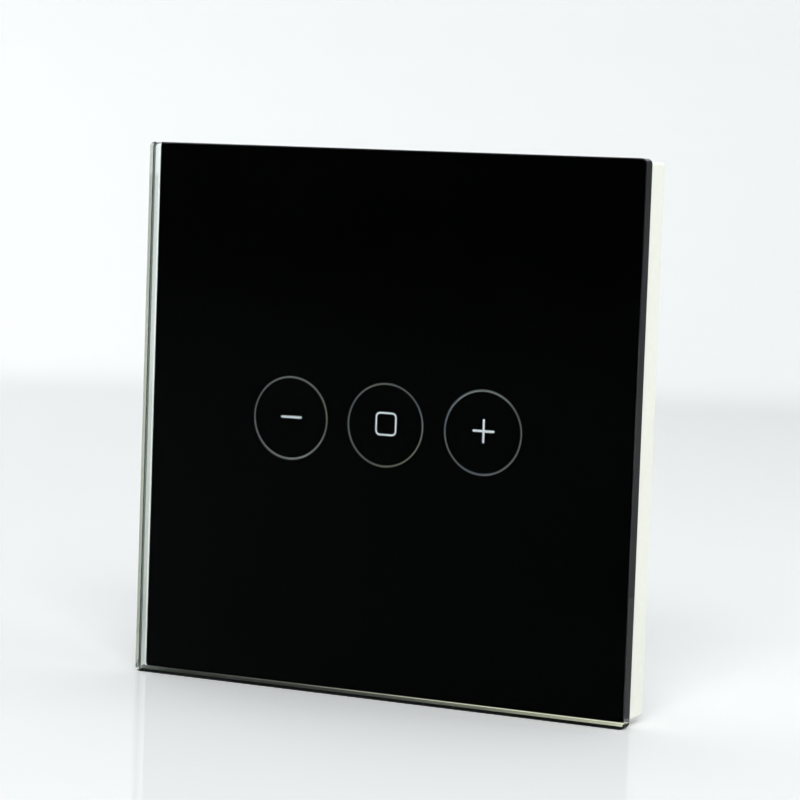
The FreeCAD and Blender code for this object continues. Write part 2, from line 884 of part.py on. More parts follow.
def link_header():
    bar = centred_box("link_header_bar", zero, d.link_z, board_rear,
                      (link_width, d.link_header_height, d.link_header_width))
    holes = [centred_box(f"link_header_hole_{number + 1}", x, d.link_z, board_rear,
                         (d.link_pin, d.link_header_height, d.link_pin))
             for number, x in link_places()]
    return cut("link_header", bar, holes)


def link_pins():
    length = power_front - d.link_pin_tip_gap - board_rear
    return group("link_pins", [
        centred_box(f"link_pin_{number + 1}", x, d.link_z, board_rear,
                    (d.link_pin, length, d.link_pin))
        for number, x in link_places()])


# Base


def base_frame():
    body = plate("base_frame", 0, 0, flange_width, flange_height, flange_front, -flange_front,
                 d.flange_corner)

    def on_collar_corner(one, other):
        return (along_depth(one, other) and close(abs(one.x), d.housing_width.value / 2)
                and close(abs(one.z), d.housing_height.value / 2))

    collar = sketch_on(body, "base_collar", y=d.collar_depth)
    centred_rectangle(collar, zero, zero, d.housing_width, d.housing_height)
    pad(body, collar, d.collar_depth)
    dress(body, "Fillet", "Radius", d.housing_corner, on_collar_corner)

    recess = sketch_on(body, "base_recess", y=flange_front)
    centred_rectangle(recess, zero, zero, inner_width, inner_height)
    pocket(body, recess, floor_front - flange_front)

    hollow = sketch_on(body, "base_hollow", y=d.collar_depth)
    centred_rectangle(hollow, zero, zero, inner_width, inner_height)
    pocket(body, hollow, d.collar_depth - floor_rear, forward=True)

    bosses = sketch_on(body, "base_bosses", y=d.collar_depth)
    pilots = sketch_on(body, "base_pilots", y=d.collar_depth)
    for sx, sz in corner_signs:
        circle(bosses, post_x * sx, post_z * sz, d.post_diameter)
        circle(pilots, post_x * sx, post_z * sz, d.housing_screw_shank + d.fit_gap * 2)
    pad(body, bosses, d.collar_depth - floor_rear)
    pocket(body, pilots, d.collar_depth - floor_rear, forward=True)

    plug = sketch_on(body, "base_plug_slot", y=floor_front)
    centred_rectangle(plug, zero, d.link_z, link_width + d.slide_gap * 2,
                      d.link_socket_width + d.slide_gap * 2)
    pocket(body, plug, d.floor_thick)

    seat_length = d.fixing_slot_length + d.fixing_seat_width - d.fixing_slot_width
    seats = sketch_on(body, "base_screw_seats", y=flange_front)
    slots = sketch_on(body, "base_screw_slots", y=flange_front)
    for side in (-1, 1):
        x = d.fixing_spacing / 2 * side
        slot(seats, x, zero, seat_length, d.fixing_seat_width)
        slot(slots, x, zero, d.fixing_slot_length, d.fixing_slot_width)
    pocket(body, seats, d.fixing_seat_depth)
    pocket(body, slots, -flange_front)

    clips = sketch_on(body, "base_clip_slots", y=flange_front)
    for sx, sz in corner_signs:
        centred_rectangle(clips, d.clip_spacing / 2 * sx, clip_z * sz,
                          d.clip_width + d.clip_gap * 2, d.clip_thick + d.clip_gap * 2)
    pocket(body, clips, -flange_front)
    return body


def housing_cavities(body):
    """The deep cavity for the parts and the shallow one behind the terminals."""
    divide_z = step_z + d.housing_wall
    deep = sketch_on(body, "housing_deep", y=d.collar_depth)
    rectangle(deep, -inner_width / 2, divide_z, inner_width, inner_height / 2 - divide_z)
    pocket(body, deep, housing_inner_rear - d.collar_depth)
    shallow = sketch_on(body, "housing_shallow", y=d.collar_depth)
    rectangle(shallow, -inner_width / 2, -inner_height / 2, inner_width,
              divide_z + inner_height / 2)
    pocket(body, shallow, step_inner - d.collar_depth)


def housing_posts(body):
    """Four screw posts that press the board against the base, each with a deep seat."""
    for row, sign, rear in (("upper", 1, housing_rear), ("lower", -1, step_rear)):
        posts = sketch_on(body, f"housing_posts_{row}", y=power_rear)
        holes = sketch_on(body, f"housing_holes_{row}", y=power_rear)
        seats = sketch_on(body, f"housing_seats_{row}", y=screw_seat)
        for side in (-1, 1):
            circle(posts, post_x * side, post_z * sign, d.post_diameter)
            circle(holes, post_x * side, post_z * sign, d.housing_screw_shank + d.screw_gap * 2)
            circle(seats, post_x * side, post_z * sign, d.housing_screw_head + d.screw_gap * 2)
        pad(body, posts, rear - power_rear - d.housing_wall / 2, backward=True)
        pocket(body, holes, d.post_seat_height)
        pocket(body, seats, rear - screw_seat)


def housing_vents(body):
    """Slots in the rear wall and in the top wall."""
    rear = sketch_on(body, "housing_rear_vents", y=housing_inner_rear)
    top = sketch_on(body, "housing_top_vents", z=d.housing_height / 2)
    middle_y = (d.collar_depth + housing_rear) / 2
    for number in range(VENT_SLOTS):
        across = d.vent_spacing * (number - (VENT_SLOTS - 1) / 2)
        slot(rear, zero, d.vent_rise + across, d.vent_length, d.vent_width)
        centred_rectangle(top, across, middle_y, d.vent_width, d.vent_side_length)
    pocket(body, rear, d.housing_wall)
    pocket(body, top, d.housing_wall)


def rear_housing():
    body = plate("rear_housing", 0, 0, d.housing_width, d.housing_height, d.collar_depth,
                 housing_rear - d.collar_depth, d.housing_corner)
    step = sketch_on(body, "housing_step", y=housing_rear)
    rectangle(step, -d.housing_width / 2, -d.housing_height / 2, d.housing_width, d.step_height)
    pocket(body, step, d.step_depth, forward=True)

    def on_a_rear_edge(one, other):
        on_rear = at_y(one, other, housing_rear) or at_y(one, other, step_rear)
        on_step = at_y(one, other, housing_rear) and close(one.z, step_z.value)
        return on_rear and on_outline(one, other, d.housing_width, d.housing_height) or on_step

    dress(body, "Fillet", "Radius", d.housing_edge, on_a_rear_edge)
    housing_cavities(body)
    housing_posts(body)
    housing_vents(body)

    drivers = sketch_on(body, "housing_driver_holes", y=step_inner)
    windows = sketch_on(body, "housing_wire_windows", z=-d.housing_height / 2)
    window_y = cage_low + d.cage_floor + d.wire_room / 2
    window_side = d.wire_room + d.window_margin * 2
    for pole in TERMINALS:
        circle(drivers, terminal_spacing * pole, cage_z, driver_hole)
        centred_rectangle(windows, terminal_spacing * pole, window_y, window_side, window_side)
    pocket(body, drivers, d.housing_wall)
    pocket(body, windows, d.housing_wall, forward=True)
    return body


def housing_screws():
    screws = []
    tip = d.collar_depth - d.housing_screw_bite
    for number, (sx, sz) in enumerate(corner_signs, start=1):
        x, z = post_x * sx, post_z * sz
        shank = rod(f"housing_screw_shank_{number}", "y", (x, tip, z),
                    d.housing_screw_shank, screw_seat - tip)
        head = rod(f"housing_screw_head_{number}", "y", (x, screw_seat, z),
                   d.housing_screw_head, d.housing_screw_head_height)
        solid = unite(f"housing_screw_solid_{number}", [shank, head])
        depth = d.housing_screw_cross_depth
        front = screw_seat + d.housing_screw_head_height - depth
        span, line = d.housing_screw_cross_span, d.housing_screw_cross_width
        cross = [centred_box(f"housing_screw_level_{number}", x, z, front, (span, depth, line)),
                 centred_box(f"housing_screw_upright_{number}", x, z, front, (line, depth, span))]
        screws.append(cut(f"housing_screw_{number}", solid, cross))
    return group("housing_screws", screws)


def power_board():
    body = plate("power_board", 0, 0, power_width, power_height, power_front, d.power_board_thick)
    holes = sketch_on(body, "power_board_holes", y=power_front)
    for sx, sz in corner_signs:
        circle(holes, post_x * sx, post_z * sz, d.housing_screw_shank + d.screw_gap * 2)
    pocket(body, holes, d.power_board_thick)
    slits = sketch_on(body, "power_board_slits", y=power_front)
    for pole in TERMINALS:
        centred_rectangle(slits, terminal_spacing * pole, contact_high_z - d.contact_thick / 2,
                          contact_width + d.screw_gap * 2, d.contact_thick + d.screw_gap * 2)
    pocket(body, slits, d.power_board_thick)
    return body


def link_socket():
    front = floor_front + d.wall_gap
    bar = centred_box("link_socket_bar", zero, d.link_z, front,
                      (link_width, power_front - front, d.link_socket_width))
    depth = power_front - d.link_pin_tip_gap + d.slide_gap - front
    hole = d.link_pin + d.link_hole_gap * 2
    holes = [centred_box(f"link_socket_hole_{number + 1}", x, d.link_z, front, (hole, depth, hole))
             for number, x in link_places()]
    return cut("link_socket", bar, holes)


# Terminals


def terminal_block():
    """One moulding with three cavities for the cages, open at the wire side."""
    solid = box("terminal_block_solid", (-block_width / 2, power_rear, block_low_z),
                (block_width, block_rear - power_rear, block_high_z - block_low_z))
    cavity_width = d.cage_width + d.slide_gap * 2
    chamber_width = contact_width + d.wall_gap * 2
    tools = []
    for pole in TERMINALS:
        x = terminal_spacing * pole
        tools.append(box(f"cage_cavity_{pole + 2}", (x - cavity_width / 2, cavity_floor, block_low_z),
                         (cavity_width, cavity_end - cavity_floor, cavity_high_z - block_low_z)))
        tools.append(box(f"contact_chamber_{pole + 2}",
                         (x - chamber_width / 2, power_rear, cavity_high_z),
                         (chamber_width, contact_high + d.wall_gap - power_rear,
                          contact_high_z + d.slide_gap - cavity_high_z)))
        tools.append(rod(f"shank_hole_{pole + 2}", "y", (x, cavity_end, cage_z),
                         d.screw_thread + d.wall_gap * 2, d.block_ledge))
        tools.append(rod(f"screw_well_{pole + 2}", "y", (x, well_floor, cage_z),
                         driver_hole, block_rear - well_floor))
    return cut("terminal_block", solid, tools)


def terminal_contacts():
    """Bent brass strips: a tongue inside each cage and a leg through the board."""
    contacts = []
    front_end = cage_low_z
    for pole in TERMINALS:
        x = terminal_spacing * pole
        tongue = box(f"contact_tongue_{pole + 2}", (x - contact_width / 2, contact_low, front_end),
                     (contact_width, d.contact_thick, contact_high_z - front_end))
        leg_end = power_front - d.contact_tail
        leg = box(f"contact_leg_{pole + 2}",
                  (x - contact_width / 2, leg_end, contact_high_z - d.contact_thick),
                  (contact_width, contact_high - leg_end, d.contact_thick))
        contacts.append(unite(f"terminal_contact_{pole + 2}", [tongue, leg]))
    return group("terminal_contacts", contacts)


def terminal_screw(pole):
    number = pole + 2
    x = terminal_spacing * pole
    shank_low = contact_high + d.screw_gap
    shank = rod(f"screw_shank_{number}", "y", (x, shank_low, cage_z), d.screw_thread,
                head_low - shank_low)
    head = rod(f"screw_head_{number}", "y", (x, head_low, cage_z), d.screw_head, d.screw_head_height)
    solid = unite(f"screw_solid_{number}", [shank, head])
    slit = centred_box(f"screw_slit_{number}", x, cage_z,
                       head_low + d.screw_head_height - d.screw_slot_depth,
                       (d.screw_head, d.screw_slot_depth, d.screw_slot_width))
    return cut(f"terminal_screw_{number}", solid, [slit])


def terminal_cage(pole):
    """The clamp that rises: a square ring round the contact, threaded for its screw."""
    number = pole + 2
    x = terminal_spacing * pole
    outer = box(f"cage_outer_{number}", (x - d.cage_width / 2, cage_low, cage_low_z),
                (d.cage_width, cage_high - cage_low, d.cage_length))
    room = d.cage_width - d.cage_side * 2
    inner_low = cage_low + d.cage_floor
    inner = box(f"cage_inner_{number}", (x - room / 2, inner_low, cage_low_z),
                (room, cage_high - d.cage_top - inner_low, d.cage_length))
    thread = rod(f"cage_thread_{number}", "y", (x, cage_high - d.cage_top, cage_z),
                 d.screw_thread + d.fit_gap * 2, d.cage_top)
    return cut(f"terminal_cage_{number}", outer, [inner, thread])


# Electronic parts that stand on the power board, row by row from the terminals up

right_edge = power_width / 2 - d.part_gap
row_two_low = block_high_z + d.part_gap
row_three_low = row_two_low + d.fuse_diameter + d.part_gap
sink_low_z = power_height / 2 - d.sink_plate - d.sink_fin_depth - d.part_gap
row_four_high = sink_low_z - d.transistor_tab - d.transistor_body - d.part_gap


def mains_fuse():
    x = right_edge - d.fuse_diameter / 2
    z = row_two_low + d.fuse_diameter / 2
    return rod("mains_fuse", "y", (x, power_rear, z), d.fuse_diameter, d.fuse_height)


def varistor():
    """A coated disc on two leads, seen from above or below as a circle."""
    x = -(right_edge - d.varistor_diameter / 2)
    z = row_two_low + d.varistor_thick / 2
    middle_y = power_rear + d.varistor_lift + d.varistor_diameter / 2
    pieces = [rod("varistor_disc", "z", (x, middle_y, z - d.varistor_thick / 2),
                  d.varistor_diameter, d.varistor_thick)]
    for side in (-1, 1):
        pieces.append(rod(f"varistor_lead_{side + 2}", "y",
                          (x + d.varistor_lead_spacing / 2 * side, power_rear, z),
                          d.lead_wire, d.varistor_lift + d.varistor_diameter / 2))
    return unite("varistor", pieces)


def x_capacitor():
    return box("x_capacitor", (-d.x_cap_width / 2, power_rear, row_two_low),
               (d.x_cap_width, step_inner - power_rear - d.x_cap_headroom, d.x_cap_depth))


def choke_core():
    """A ferrite drum: two flanges on a round core."""
    x = -(right_edge - d.choke_flange / 2)
    z = row_three_low + d.choke_flange / 2
    low = rod("choke_low_flange", "y", (x, power_rear, z), d.choke_flange, d.choke_flange_thick)
    core = rod("choke_round_core", "y", (x, power_rear, z), d.choke_core, d.choke_height)
    high = rod("choke_high_flange", "y", (x, power_rear + d.choke_height - d.choke_flange_thick, z),
               d.choke_flange, d.choke_flange_thick)
    return unite("choke_core", [low, core, high])


def choke_winding():
    x = -(right_edge - d.choke_flange / 2)
    z = row_three_low + d.choke_flange / 2
    front = power_rear + d.choke_flange_thick
    length = d.choke_height - d.choke_flange_thick * 2
    outer = rod("choke_winding_outer", "y", (x, front, z), d.choke_winding, length)
    bore = rod("choke_winding_bore", "y", (x, front, z), d.choke_core, length)
    return cut("choke_winding", outer, [bore])


def bulk_capacitor():
    z = row_two_low + d.x_cap_depth + d.part_gap + d.bulk_diameter / 2
    height = housing_inner_rear - power_rear - d.bulk_headroom
    return rod("bulk_capacitor", "y", (zero, power_rear, z), d.bulk_diameter, height)


def trafo_place():
    x = right_edge - d.trafo_width / 2
    z = row_three_low + d.trafo_winding_depth / 2
    return x, z


def transformer_core():
    """A closed ferrite core with two windows and a middle limb."""
    x, z = trafo_place()
    solid = centred_box("trafo_core_solid", x, z, power_rear,
                        (d.trafo_width, d.trafo_height, d.trafo_core_depth))
    window = (d.trafo_width - d.trafo_limb * 3) / 2
    height = d.trafo_height - d.trafo_limb * 2
    reach = (d.trafo_limb + window) / 2
    windows = [centred_box(f"trafo_window_{side + 2}", x + reach * side, z, power_rear + d.trafo_limb,
                           (window, height, d.trafo_core_depth))
               for side in (-1, 1)]
    return cut("transformer_core", solid, windows)


def transformer_winding():
    x, z = trafo_place()
    window = (d.trafo_width - d.trafo_limb * 3) / 2
    height = d.trafo_height - d.trafo_limb * 2 - d.wall_gap * 2
    front = power_rear + d.trafo_limb + d.wall_gap
    width = d.trafo_limb + window * 2 - d.wall_gap * 2
    solid = centred_box("trafo_winding_solid", x, z, front, (width, height, d.trafo_winding_depth))
    bore = centred_box("trafo_winding_bore", x, z, front,
                       (d.trafo_limb, height, d.trafo_core_depth))
    return cut("transformer_winding", solid, [bore])


def rectifier():
    z = row_four_high - d.rectifier_depth / 2
    return centred_box("rectifier", -(d.rectifier_width / 2 + d.part_gap), z, power_rear,
                       (d.rectifier_width, d.rectifier_height, d.rectifier_depth))


def output_capacitor():
    x = d.output_diameter / 2 + d.part_gap
    z = row_four_high - d.output_diameter / 2
    return rod("output_capacitor", "y", (x, power_rear, z), d.output_diameter, d.output_height)


def control_chip():
    return centred_box("control_chip", zero, d.control_z, power_front - d.control_height,
                       (d.control_length, d.control_height, d.control_width))


def heat_sink():
    """An aluminium plate on edge with fins towards the top wall."""
    width = post_x * 2 - d.post_diameter - d.part_gap * 2
    height = housing_inner_rear - power_rear - d.part_gap
    pieces = [box("sink_plate_solid", (-width / 2, power_rear, sink_low_z),
                  (width, height, d.sink_plate))]
    for number in range(SINK_FINS):
        x = d.sink_fin_spacing * (number - (SINK_FINS - 1) / 2) - d.sink_fin_thick / 2
        pieces.append(box(f"sink_fin_{number + 1}", (x, power_rear, sink_low_z + d.sink_plate),
                          (d.sink_fin_thick, height, d.sink_fin_depth)))
    solid = unite("sink_solid", pieces)
    holes = [rod(f"sink_hole_{side + 2}", "z", (x, transistor_screw_y, sink_low_z),
                 d.screw_thread + d.fit_gap * 2, d.sink_plate)
             for side, x in transistor_places()]
    return cut("heat_sink", solid, holes)


transistor_low = power_rear + d.transistor_lift
transistor_high = transistor_low + d.transistor_tab_height
transistor_screw_y = transistor_high - (d.transistor_tab_height - d.transistor_body_height) / 2


def transistor_places():
    return [(side, d.transistor_spacing / 2 * side) for side in (-1, 1)]


def power_transistors():
    """Two power transistors on the heat sink, each a moulded body on a metal tab."""
    parts = []
    for side, x in transistor_places():
        tab_z = sink_low_z - d.transistor_tab
        body_z = tab_z - d.transistor_body
        tab = box(f"transistor_tab_{side + 2}", (x - d.transistor_width / 2, transistor_low, tab_z),
                  (d.transistor_width, d.transistor_tab_height, d.transistor_tab))
        moulding = box(f"transistor_body_{side + 2}",
                       (x - d.transistor_width / 2, transistor_low, body_z),
                       (d.transistor_width, d.transistor_body_height, d.transistor_body))
        pieces = [tab, moulding]
        for leg in (-1, 0, 1):
            leg_x = x + d.transistor_leg_spacing * leg - d.transistor_leg / 2
            pieces.append(box(f"transistor_leg_{side + 2}_{leg + 2}",
                              (leg_x, power_rear, body_z + d.transistor_body / 2),
                              (d.transistor_leg, d.transistor_lift, d.transistor_leg)))
        solid = unite(f"transistor_solid_{side + 2}", pieces)
        hole = rod(f"transistor_hole_{side + 2}", "z", (x, transistor_screw_y, tab_z),
                   d.screw_thread + d.screw_gap * 2, d.transistor_tab)
        parts.append(cut(f"transistor_{side + 2}", solid, [hole]))
    return group("power_transistors", parts)


def transistor_screws():
    screws = []
    for side, x in transistor_places():
        seat = sink_low_z - d.transistor_tab
        shank = rod(f"sink_screw_shank_{side + 2}", "z", (x, transistor_screw_y, seat),
                    d.screw_thread, d.transistor_tab + d.sink_plate)
        head = rod(f"sink_screw_head_{side + 2}", "z",
                   (x, transistor_screw_y, seat - d.screw_head_height),
                   d.transistor_screw_head, d.screw_head_height)
        screws.append(unite(f"sink_screw_{side + 2}", [shank, head]))
    return group("transistor_screws", screws)


def build():
    rings = ring_inks()
    icons = icon_inks()
    parts = [
        glass_panel(), black_film(rings, icons), rings, icons, tape_frame(), panel_frame(),
        light_block(), touch_springs(), indicator_leds(), touch_board(), board_screws(),
        touch_chip(), radio_board(), radio_shield(), link_header(), link_pins(),
        base_frame(), rear_housing(), housing_screws(), power_board(), link_socket(),
        terminal_block(), terminal_contacts(),
    ]
    parts += [terminal_screw(pole) for pole in TERMINALS]
    parts += [terminal_cage(pole) for pole in TERMINALS]
    parts += [
        mains_fuse(), varistor(), x_capacitor(), choke_core(), choke_winding(), bulk_capacitor(),
        transformer_core(), transformer_winding(), rectifier(), output_capacitor(),
        control_chip(), heat_sink(), power_transistors(), transistor_screws(),
    ]
    doc.recompute()
    return parts


def check(parts):
    for obj in doc.Objects:
        if "Invalid" in obj.State or "Error" in obj.State:
            raise RuntimeError(f"{obj.Name} failed: {obj.State}")
    for part in parts:
        if part.Shape.isNull() or not part.Shape.isValid() or not part.Shape.Solids:
            raise RuntimeError(f"{part.Label} has no valid solid")


def export(parts):
    for part in parts:
        part.Shape.exportStep(f"parts/{part.Label}.step")
        print(f"{part.Label}: {len(part.Shape.Solids)} solids, {part.Shape.Volume:.2f} mm3")


parts = build()
check(parts)
export(parts)
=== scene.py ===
# Looks of a square glass touch dimmer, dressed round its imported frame. Units are metres.
import json
import math

import bmesh
import bpy
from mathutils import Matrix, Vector


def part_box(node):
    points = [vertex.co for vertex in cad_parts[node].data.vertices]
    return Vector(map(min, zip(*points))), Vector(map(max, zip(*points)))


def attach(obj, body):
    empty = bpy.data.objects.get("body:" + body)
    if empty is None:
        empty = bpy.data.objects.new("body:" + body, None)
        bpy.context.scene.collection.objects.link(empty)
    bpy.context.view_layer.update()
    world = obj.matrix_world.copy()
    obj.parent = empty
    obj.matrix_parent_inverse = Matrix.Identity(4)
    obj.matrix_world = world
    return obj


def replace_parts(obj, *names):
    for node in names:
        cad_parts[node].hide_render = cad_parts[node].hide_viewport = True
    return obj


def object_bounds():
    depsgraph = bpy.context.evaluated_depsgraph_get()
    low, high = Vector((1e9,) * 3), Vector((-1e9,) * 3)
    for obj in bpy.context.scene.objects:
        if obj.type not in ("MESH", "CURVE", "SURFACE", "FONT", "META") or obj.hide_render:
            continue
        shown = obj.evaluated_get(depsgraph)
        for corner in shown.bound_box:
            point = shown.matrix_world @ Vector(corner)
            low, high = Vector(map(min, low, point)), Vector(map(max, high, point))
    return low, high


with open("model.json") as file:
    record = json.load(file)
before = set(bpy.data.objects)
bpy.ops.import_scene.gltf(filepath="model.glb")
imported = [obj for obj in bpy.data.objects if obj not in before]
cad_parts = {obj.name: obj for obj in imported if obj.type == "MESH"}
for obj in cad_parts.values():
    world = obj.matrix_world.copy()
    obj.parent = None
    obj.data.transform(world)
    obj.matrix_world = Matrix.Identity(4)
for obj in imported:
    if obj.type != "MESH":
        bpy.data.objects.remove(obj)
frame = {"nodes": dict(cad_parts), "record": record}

cad_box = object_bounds()
nodes = frame["nodes"]
MM = 0.001

# Camera, fitted to the photograph's edges
IMAGE_WIDTH = 800
SENSOR = 36.0
FOCAL_PIXELS = 3072.5
AZIMUTH = math.radians(26.365)
ELEVATION = math.radians(4.504)
ROLL = math.radians(2.026)
TARGET = Vector((3.186, -8.4, 4.102)) * MM
DISTANCE = 476.58 * MM
CLIP_START = 0.01
CLIP_END = 20

# Noise: its usual middle range, and how many grains a blotch of colour is across
NOISE_RANGE = (0.35, 0.65)
BLOTCH = 12

# Glass sheet. The clear line runs along the film's edge beside it, and below it runs a line of
# painted light.
GLASS_CORNER = 0.9 * MM
FRONT_ARRIS = 0.15 * MM
REAR_ARRIS = 0.25 * MM
GLASS_BOND = 0.05 * MM
CLEAR_LINE = 0.33 * MM
PAINTED_LIGHT_LINE = 0.16 * MM
GLASS_TINT = (0.93, 0.985, 0.955)
# The ground arris is really ground, and its near-black tint is painted shade, so that it shows as
# a dark line
GROUND_PAINTED_SHADE = (0.035, 0.05, 0.045)
GLASS_IOR = 1.52

# The sheet's finishes, in the order of its materials, and what they become below the film, where
# they carry painted shade and light
CLEAR, POLISHED, GROUND, BESIDE_FILM, BELOW_FILM, NEAR_FILM, SHADE_PAINTED_ARRIS = range(7)
LOWER_FINISH = {CLEAR: NEAR_FILM, POLISHED: SHADE_PAINTED_ARRIS, GROUND: SHADE_PAINTED_ARRIS,
                BESIDE_FILM: BELOW_FILM}

# Rounded edges of the carried-over solids
WELD_DISTANCE = 0.002 * MM
ROUNDING_ANGLE = math.radians(35)
SMALL_ROUNDING = 0.06 * MM
EDGE_ROUNDING = {"cream_plastic": 0.08 * MM, "white_plastic": 0.08 * MM,
                 "terminal_plastic": 0.12 * MM, "black_resin": 0.08 * MM,
                 "yellow_case": 0.3 * MM, "ferrite": 0.15 * MM}
SHARP_NODES = ("black_film", "tape_frame", "touch_springs", "touch_board", "radio_board",
               "power_board", "board_screws", "terminal_screw_1", "terminal_screw_2",
               "terminal_screw_3")

# Printed keys
INK_PROUD = 0.01 * MM
RING_STEPS = 128
RING_LINE = 0.2 * MM
BAR_WIDTH = 0.36 * MM
BAR_END = 0.13 * MM
SQUARE_LINE = 0.3 * MM
SQUARE_CORNER = 0.85 * MM
PRINT_TURN = math.radians(0.25)
CORNER_STEPS = 8

# Windings. The spacing and the rim are shares of the wire's diameter.
CHOKE_WIRE = 0.5 * MM
TRANSFORMER_WIRE = 0.4 * MM
TRANSFORMER_CORNER = 0.8 * MM
WIRE_SPACING = 1.04
WIRE_SIDES = 8
WINDING_RIM = 0.3

# Capacitor cans, from foot to end: share of the radius, the level that a point is measured from,
# and its distance from there in millimetres. The other shares are of the radius too.
SLEEVE, BARE_END, STRIPE = range(3)
CAN_PROFILE = (
    (0.80, "foot", 0.0), (0.93, "foot", 0.15), (0.985, "foot", 0.5),
    (1.0, "waist", -0.55), (0.95, "waist", -0.25), (0.90, "waist", 0.0),
    (0.95, "waist", 0.25), (1.0, "waist", 0.55),
    (1.0, "end", -0.5), (0.975, "end", -0.18), (0.93, "end", -0.05), (0.86, "end", 0.0),
    (0.82, "end", -0.08), (0.80, "end", -0.25),
)
CAN_WAIST = 0.42
STRIPE_FROM = 0.87
VENT_REACH = 0.74
VENT_GROOVE = 0.22 * MM
VENT_STEPS = 8
VENT_FLOOR = 0.26 * MM
VENT_TOP = 0.14 * MM

# Chip parts on the touch board's rear, in millimetres: place along X and Z, whether the part
# stands along Z, its length and height, and its finish. The shares are of its length or height.
TINNED, RESISTOR, CAPACITOR = range(3)
CHIP_PARTS = (
    (-15.8, 8.6, True, 1.6, 0.5, RESISTOR), (-13.2, 8.6, True, 1.6, 0.5, RESISTOR),
    (-10.6, 8.6, True, 1.6, 0.5, RESISTOR), (-8.0, 8.6, True, 1.6, 0.5, RESISTOR),
    (-19.6, 16.5, True, 1.6, 0.8, CAPACITOR), (-19.6, 13.2, True, 1.6, 0.8, CAPACITOR),
    (-4.4, 15.6, True, 2.0, 1.0, CAPACITOR), (-1.2, 15.6, True, 1.6, 0.8, CAPACITOR),
    (-12.0, 20.4, False, 2.0, 1.0, CAPACITOR), (-8.2, 20.4, False, 1.6, 0.5, RESISTOR),
    (-16.8, -5.2, False, 1.6, 0.5, RESISTOR), (0.0, -5.2, False, 1.6, 0.5, RESISTOR),
    (16.8, -5.2, False, 1.6, 0.5, RESISTOR), (-12.2, -16.0, False, 3.2, 1.6, CAPACITOR),
    (-12.2, -19.0, False, 2.0, 1.0, CAPACITOR), (12.4, -19.6, False, 2.0, 1.0, CAPACITOR),
    (12.4, -12.4, False, 1.6, 0.5, RESISTOR), (1.6, 19.2, True, 1.6, 0.8, CAPACITOR),
    (19.4, 10.0, True, 1.6, 0.5, RESISTOR), (19.4, 13.2, True, 1.6, 0.8, CAPACITOR),
)
CHIP_GAP = 0.03 * MM
CHIP_WIDTH = 0.5
CHIP_END = 0.2
CHIP_RELIEF = 0.02 * MM
CHIP_ROUNDING = 0.03 * MM
SOLDER_REACH = 0.35
SOLDER_HEIGHT = 0.6
SOLDER_WIDTH = 1.05
SOLDER_HOLLOW = 1.8
SOLDER_STEPS = 5

# Copper tracks there, in millimetres: width, and the points that each runs through
COPPER = 0.035 * MM
PAD_RADIUS = 0.32 * MM
HOLE_RADIUS = 0.15 * MM
PAD_STEPS = 20
TRACKS = (
    (0.25, ((-15.8, 7.2), (-15.8, 4.2), (-16.8, 3.2), (-16.8, 1.6))),
    (0.25, ((-13.2, 7.2), (-13.2, 5.0), (-8.0, -0.15), (-1.8, -0.15))),
    (0.25, ((-10.6, 7.2), (-10.6, 5.4), (-7.4, 2.2), (13.6, 2.2), (15.4, 0.8))),
    (0.25, ((-8.0, 7.2), (-8.0, 5.6), (-6.0, 3.4), (1.2, 3.4), (2.2, 4.4), (2.2, 8.0))),
    (0.25, ((-18.2, -5.2), (-19.8, -3.6), (-19.8, 9.8), (-18.2, 11.4))),
    (0.25, ((1.4, -5.2), (3.0, -6.8), (3.0, -16.6), (1.3, -18.4))),
    (0.25, ((18.2, -5.2), (20.6, -2.8), (20.6, 7.0), (19.4, 8.2))),
    (0.25, ((-1.4, -5.2), (-3.2, -7.0), (-3.2, -16.4), (-1.3, -18.4))),
    (0.25, ((-15.4, -5.2), (-12.6, -8.0), (-8.0, -8.0), (-5.6, -10.4), (-5.6, -16.6),
            (-3.9, -18.4))),
    (0.25, ((15.4, -5.2), (12.6, -8.0), (8.0, -8.0), (5.6, -10.4), (5.6, -16.6), (3.9, -18.4))),
    (0.5, ((-10.0, -16.0), (-8.6, -16.0), (-6.5, -18.1))),
    (0.5, ((11.0, -12.4), (8.4, -12.4), (8.4, -15.8), (6.5, -17.8))),
    (0.25, ((13.8, -12.4), (18.8, -7.4), (18.8, -6.4))),
    (0.25, ((-17.8, 20.4), (-13.6, 20.4))),
    (0.5, ((-19.6, 18.0), (-19.6, 19.4), (-17.2, 21.8), (-3.6, 21.8), (0.6, 21.8), (1.6, 20.8))),
    (0.25, ((-4.4, 14.0), (-4.4, 11.8), (-2.8, 10.2), (2.8, 10.2))),
    (0.25, ((-1.2, 14.2), (-1.2, 12.6), (2.8, 12.6))),
    (0.25, ((19.4, 14.6), (19.4, 18.6), (17.2, 20.8))),
)

# Solder domes behind the touch springs
DOME_COLLAR = 1.5 * MM
DOME_TIP = 0.12 * MM
DOME_RADIUS = 0.95 * MM
DOME_HEIGHT = 0.55 * MM
DOME_HOLLOW = 1.4
DOME_STEPS = 8
DOME_SIDES = 32

# Radio board: folded aerial, and the half-round joints along both sides
AERIAL_FOLDS = 6
AERIAL_WIDTH = 0.4 * MM
AERIAL_SIDE_GAP = 1.2 * MM
AERIAL_CAN_GAP = 1.4 * MM
AERIAL_TOP_GAP = 0.7 * MM
AERIAL_TAIL = 0.8 * MM
JOINTS = 9
JOINT_START = 1.1 * MM
JOINT_SPACING = 1.27 * MM
JOINT_DEPTH = 0.35 * MM
JOINT_SHOULDER = 0.3 * MM
JOINT_STEPS = 6
JOINT_SINK = 0.02 * MM

# Sweep: a floor, a cove and a backdrop, measured from under the object away from the camera
SWEEP_HALF_WIDTH = 2.5
SWEEP_FRONT = -2.0
COVE_START = 0.62
COVE_RADIUS = 0.5
COVE_STEPS = 16
BACKDROP_TOP = 1.6
FLOOR_TONE = (0.735, 0.75, 0.75)
BACKDROP_TONE = (0.865, 0.885, 0.885)
TONE_CHANGE = (COVE_START - 0.05, COVE_START + 0.08)

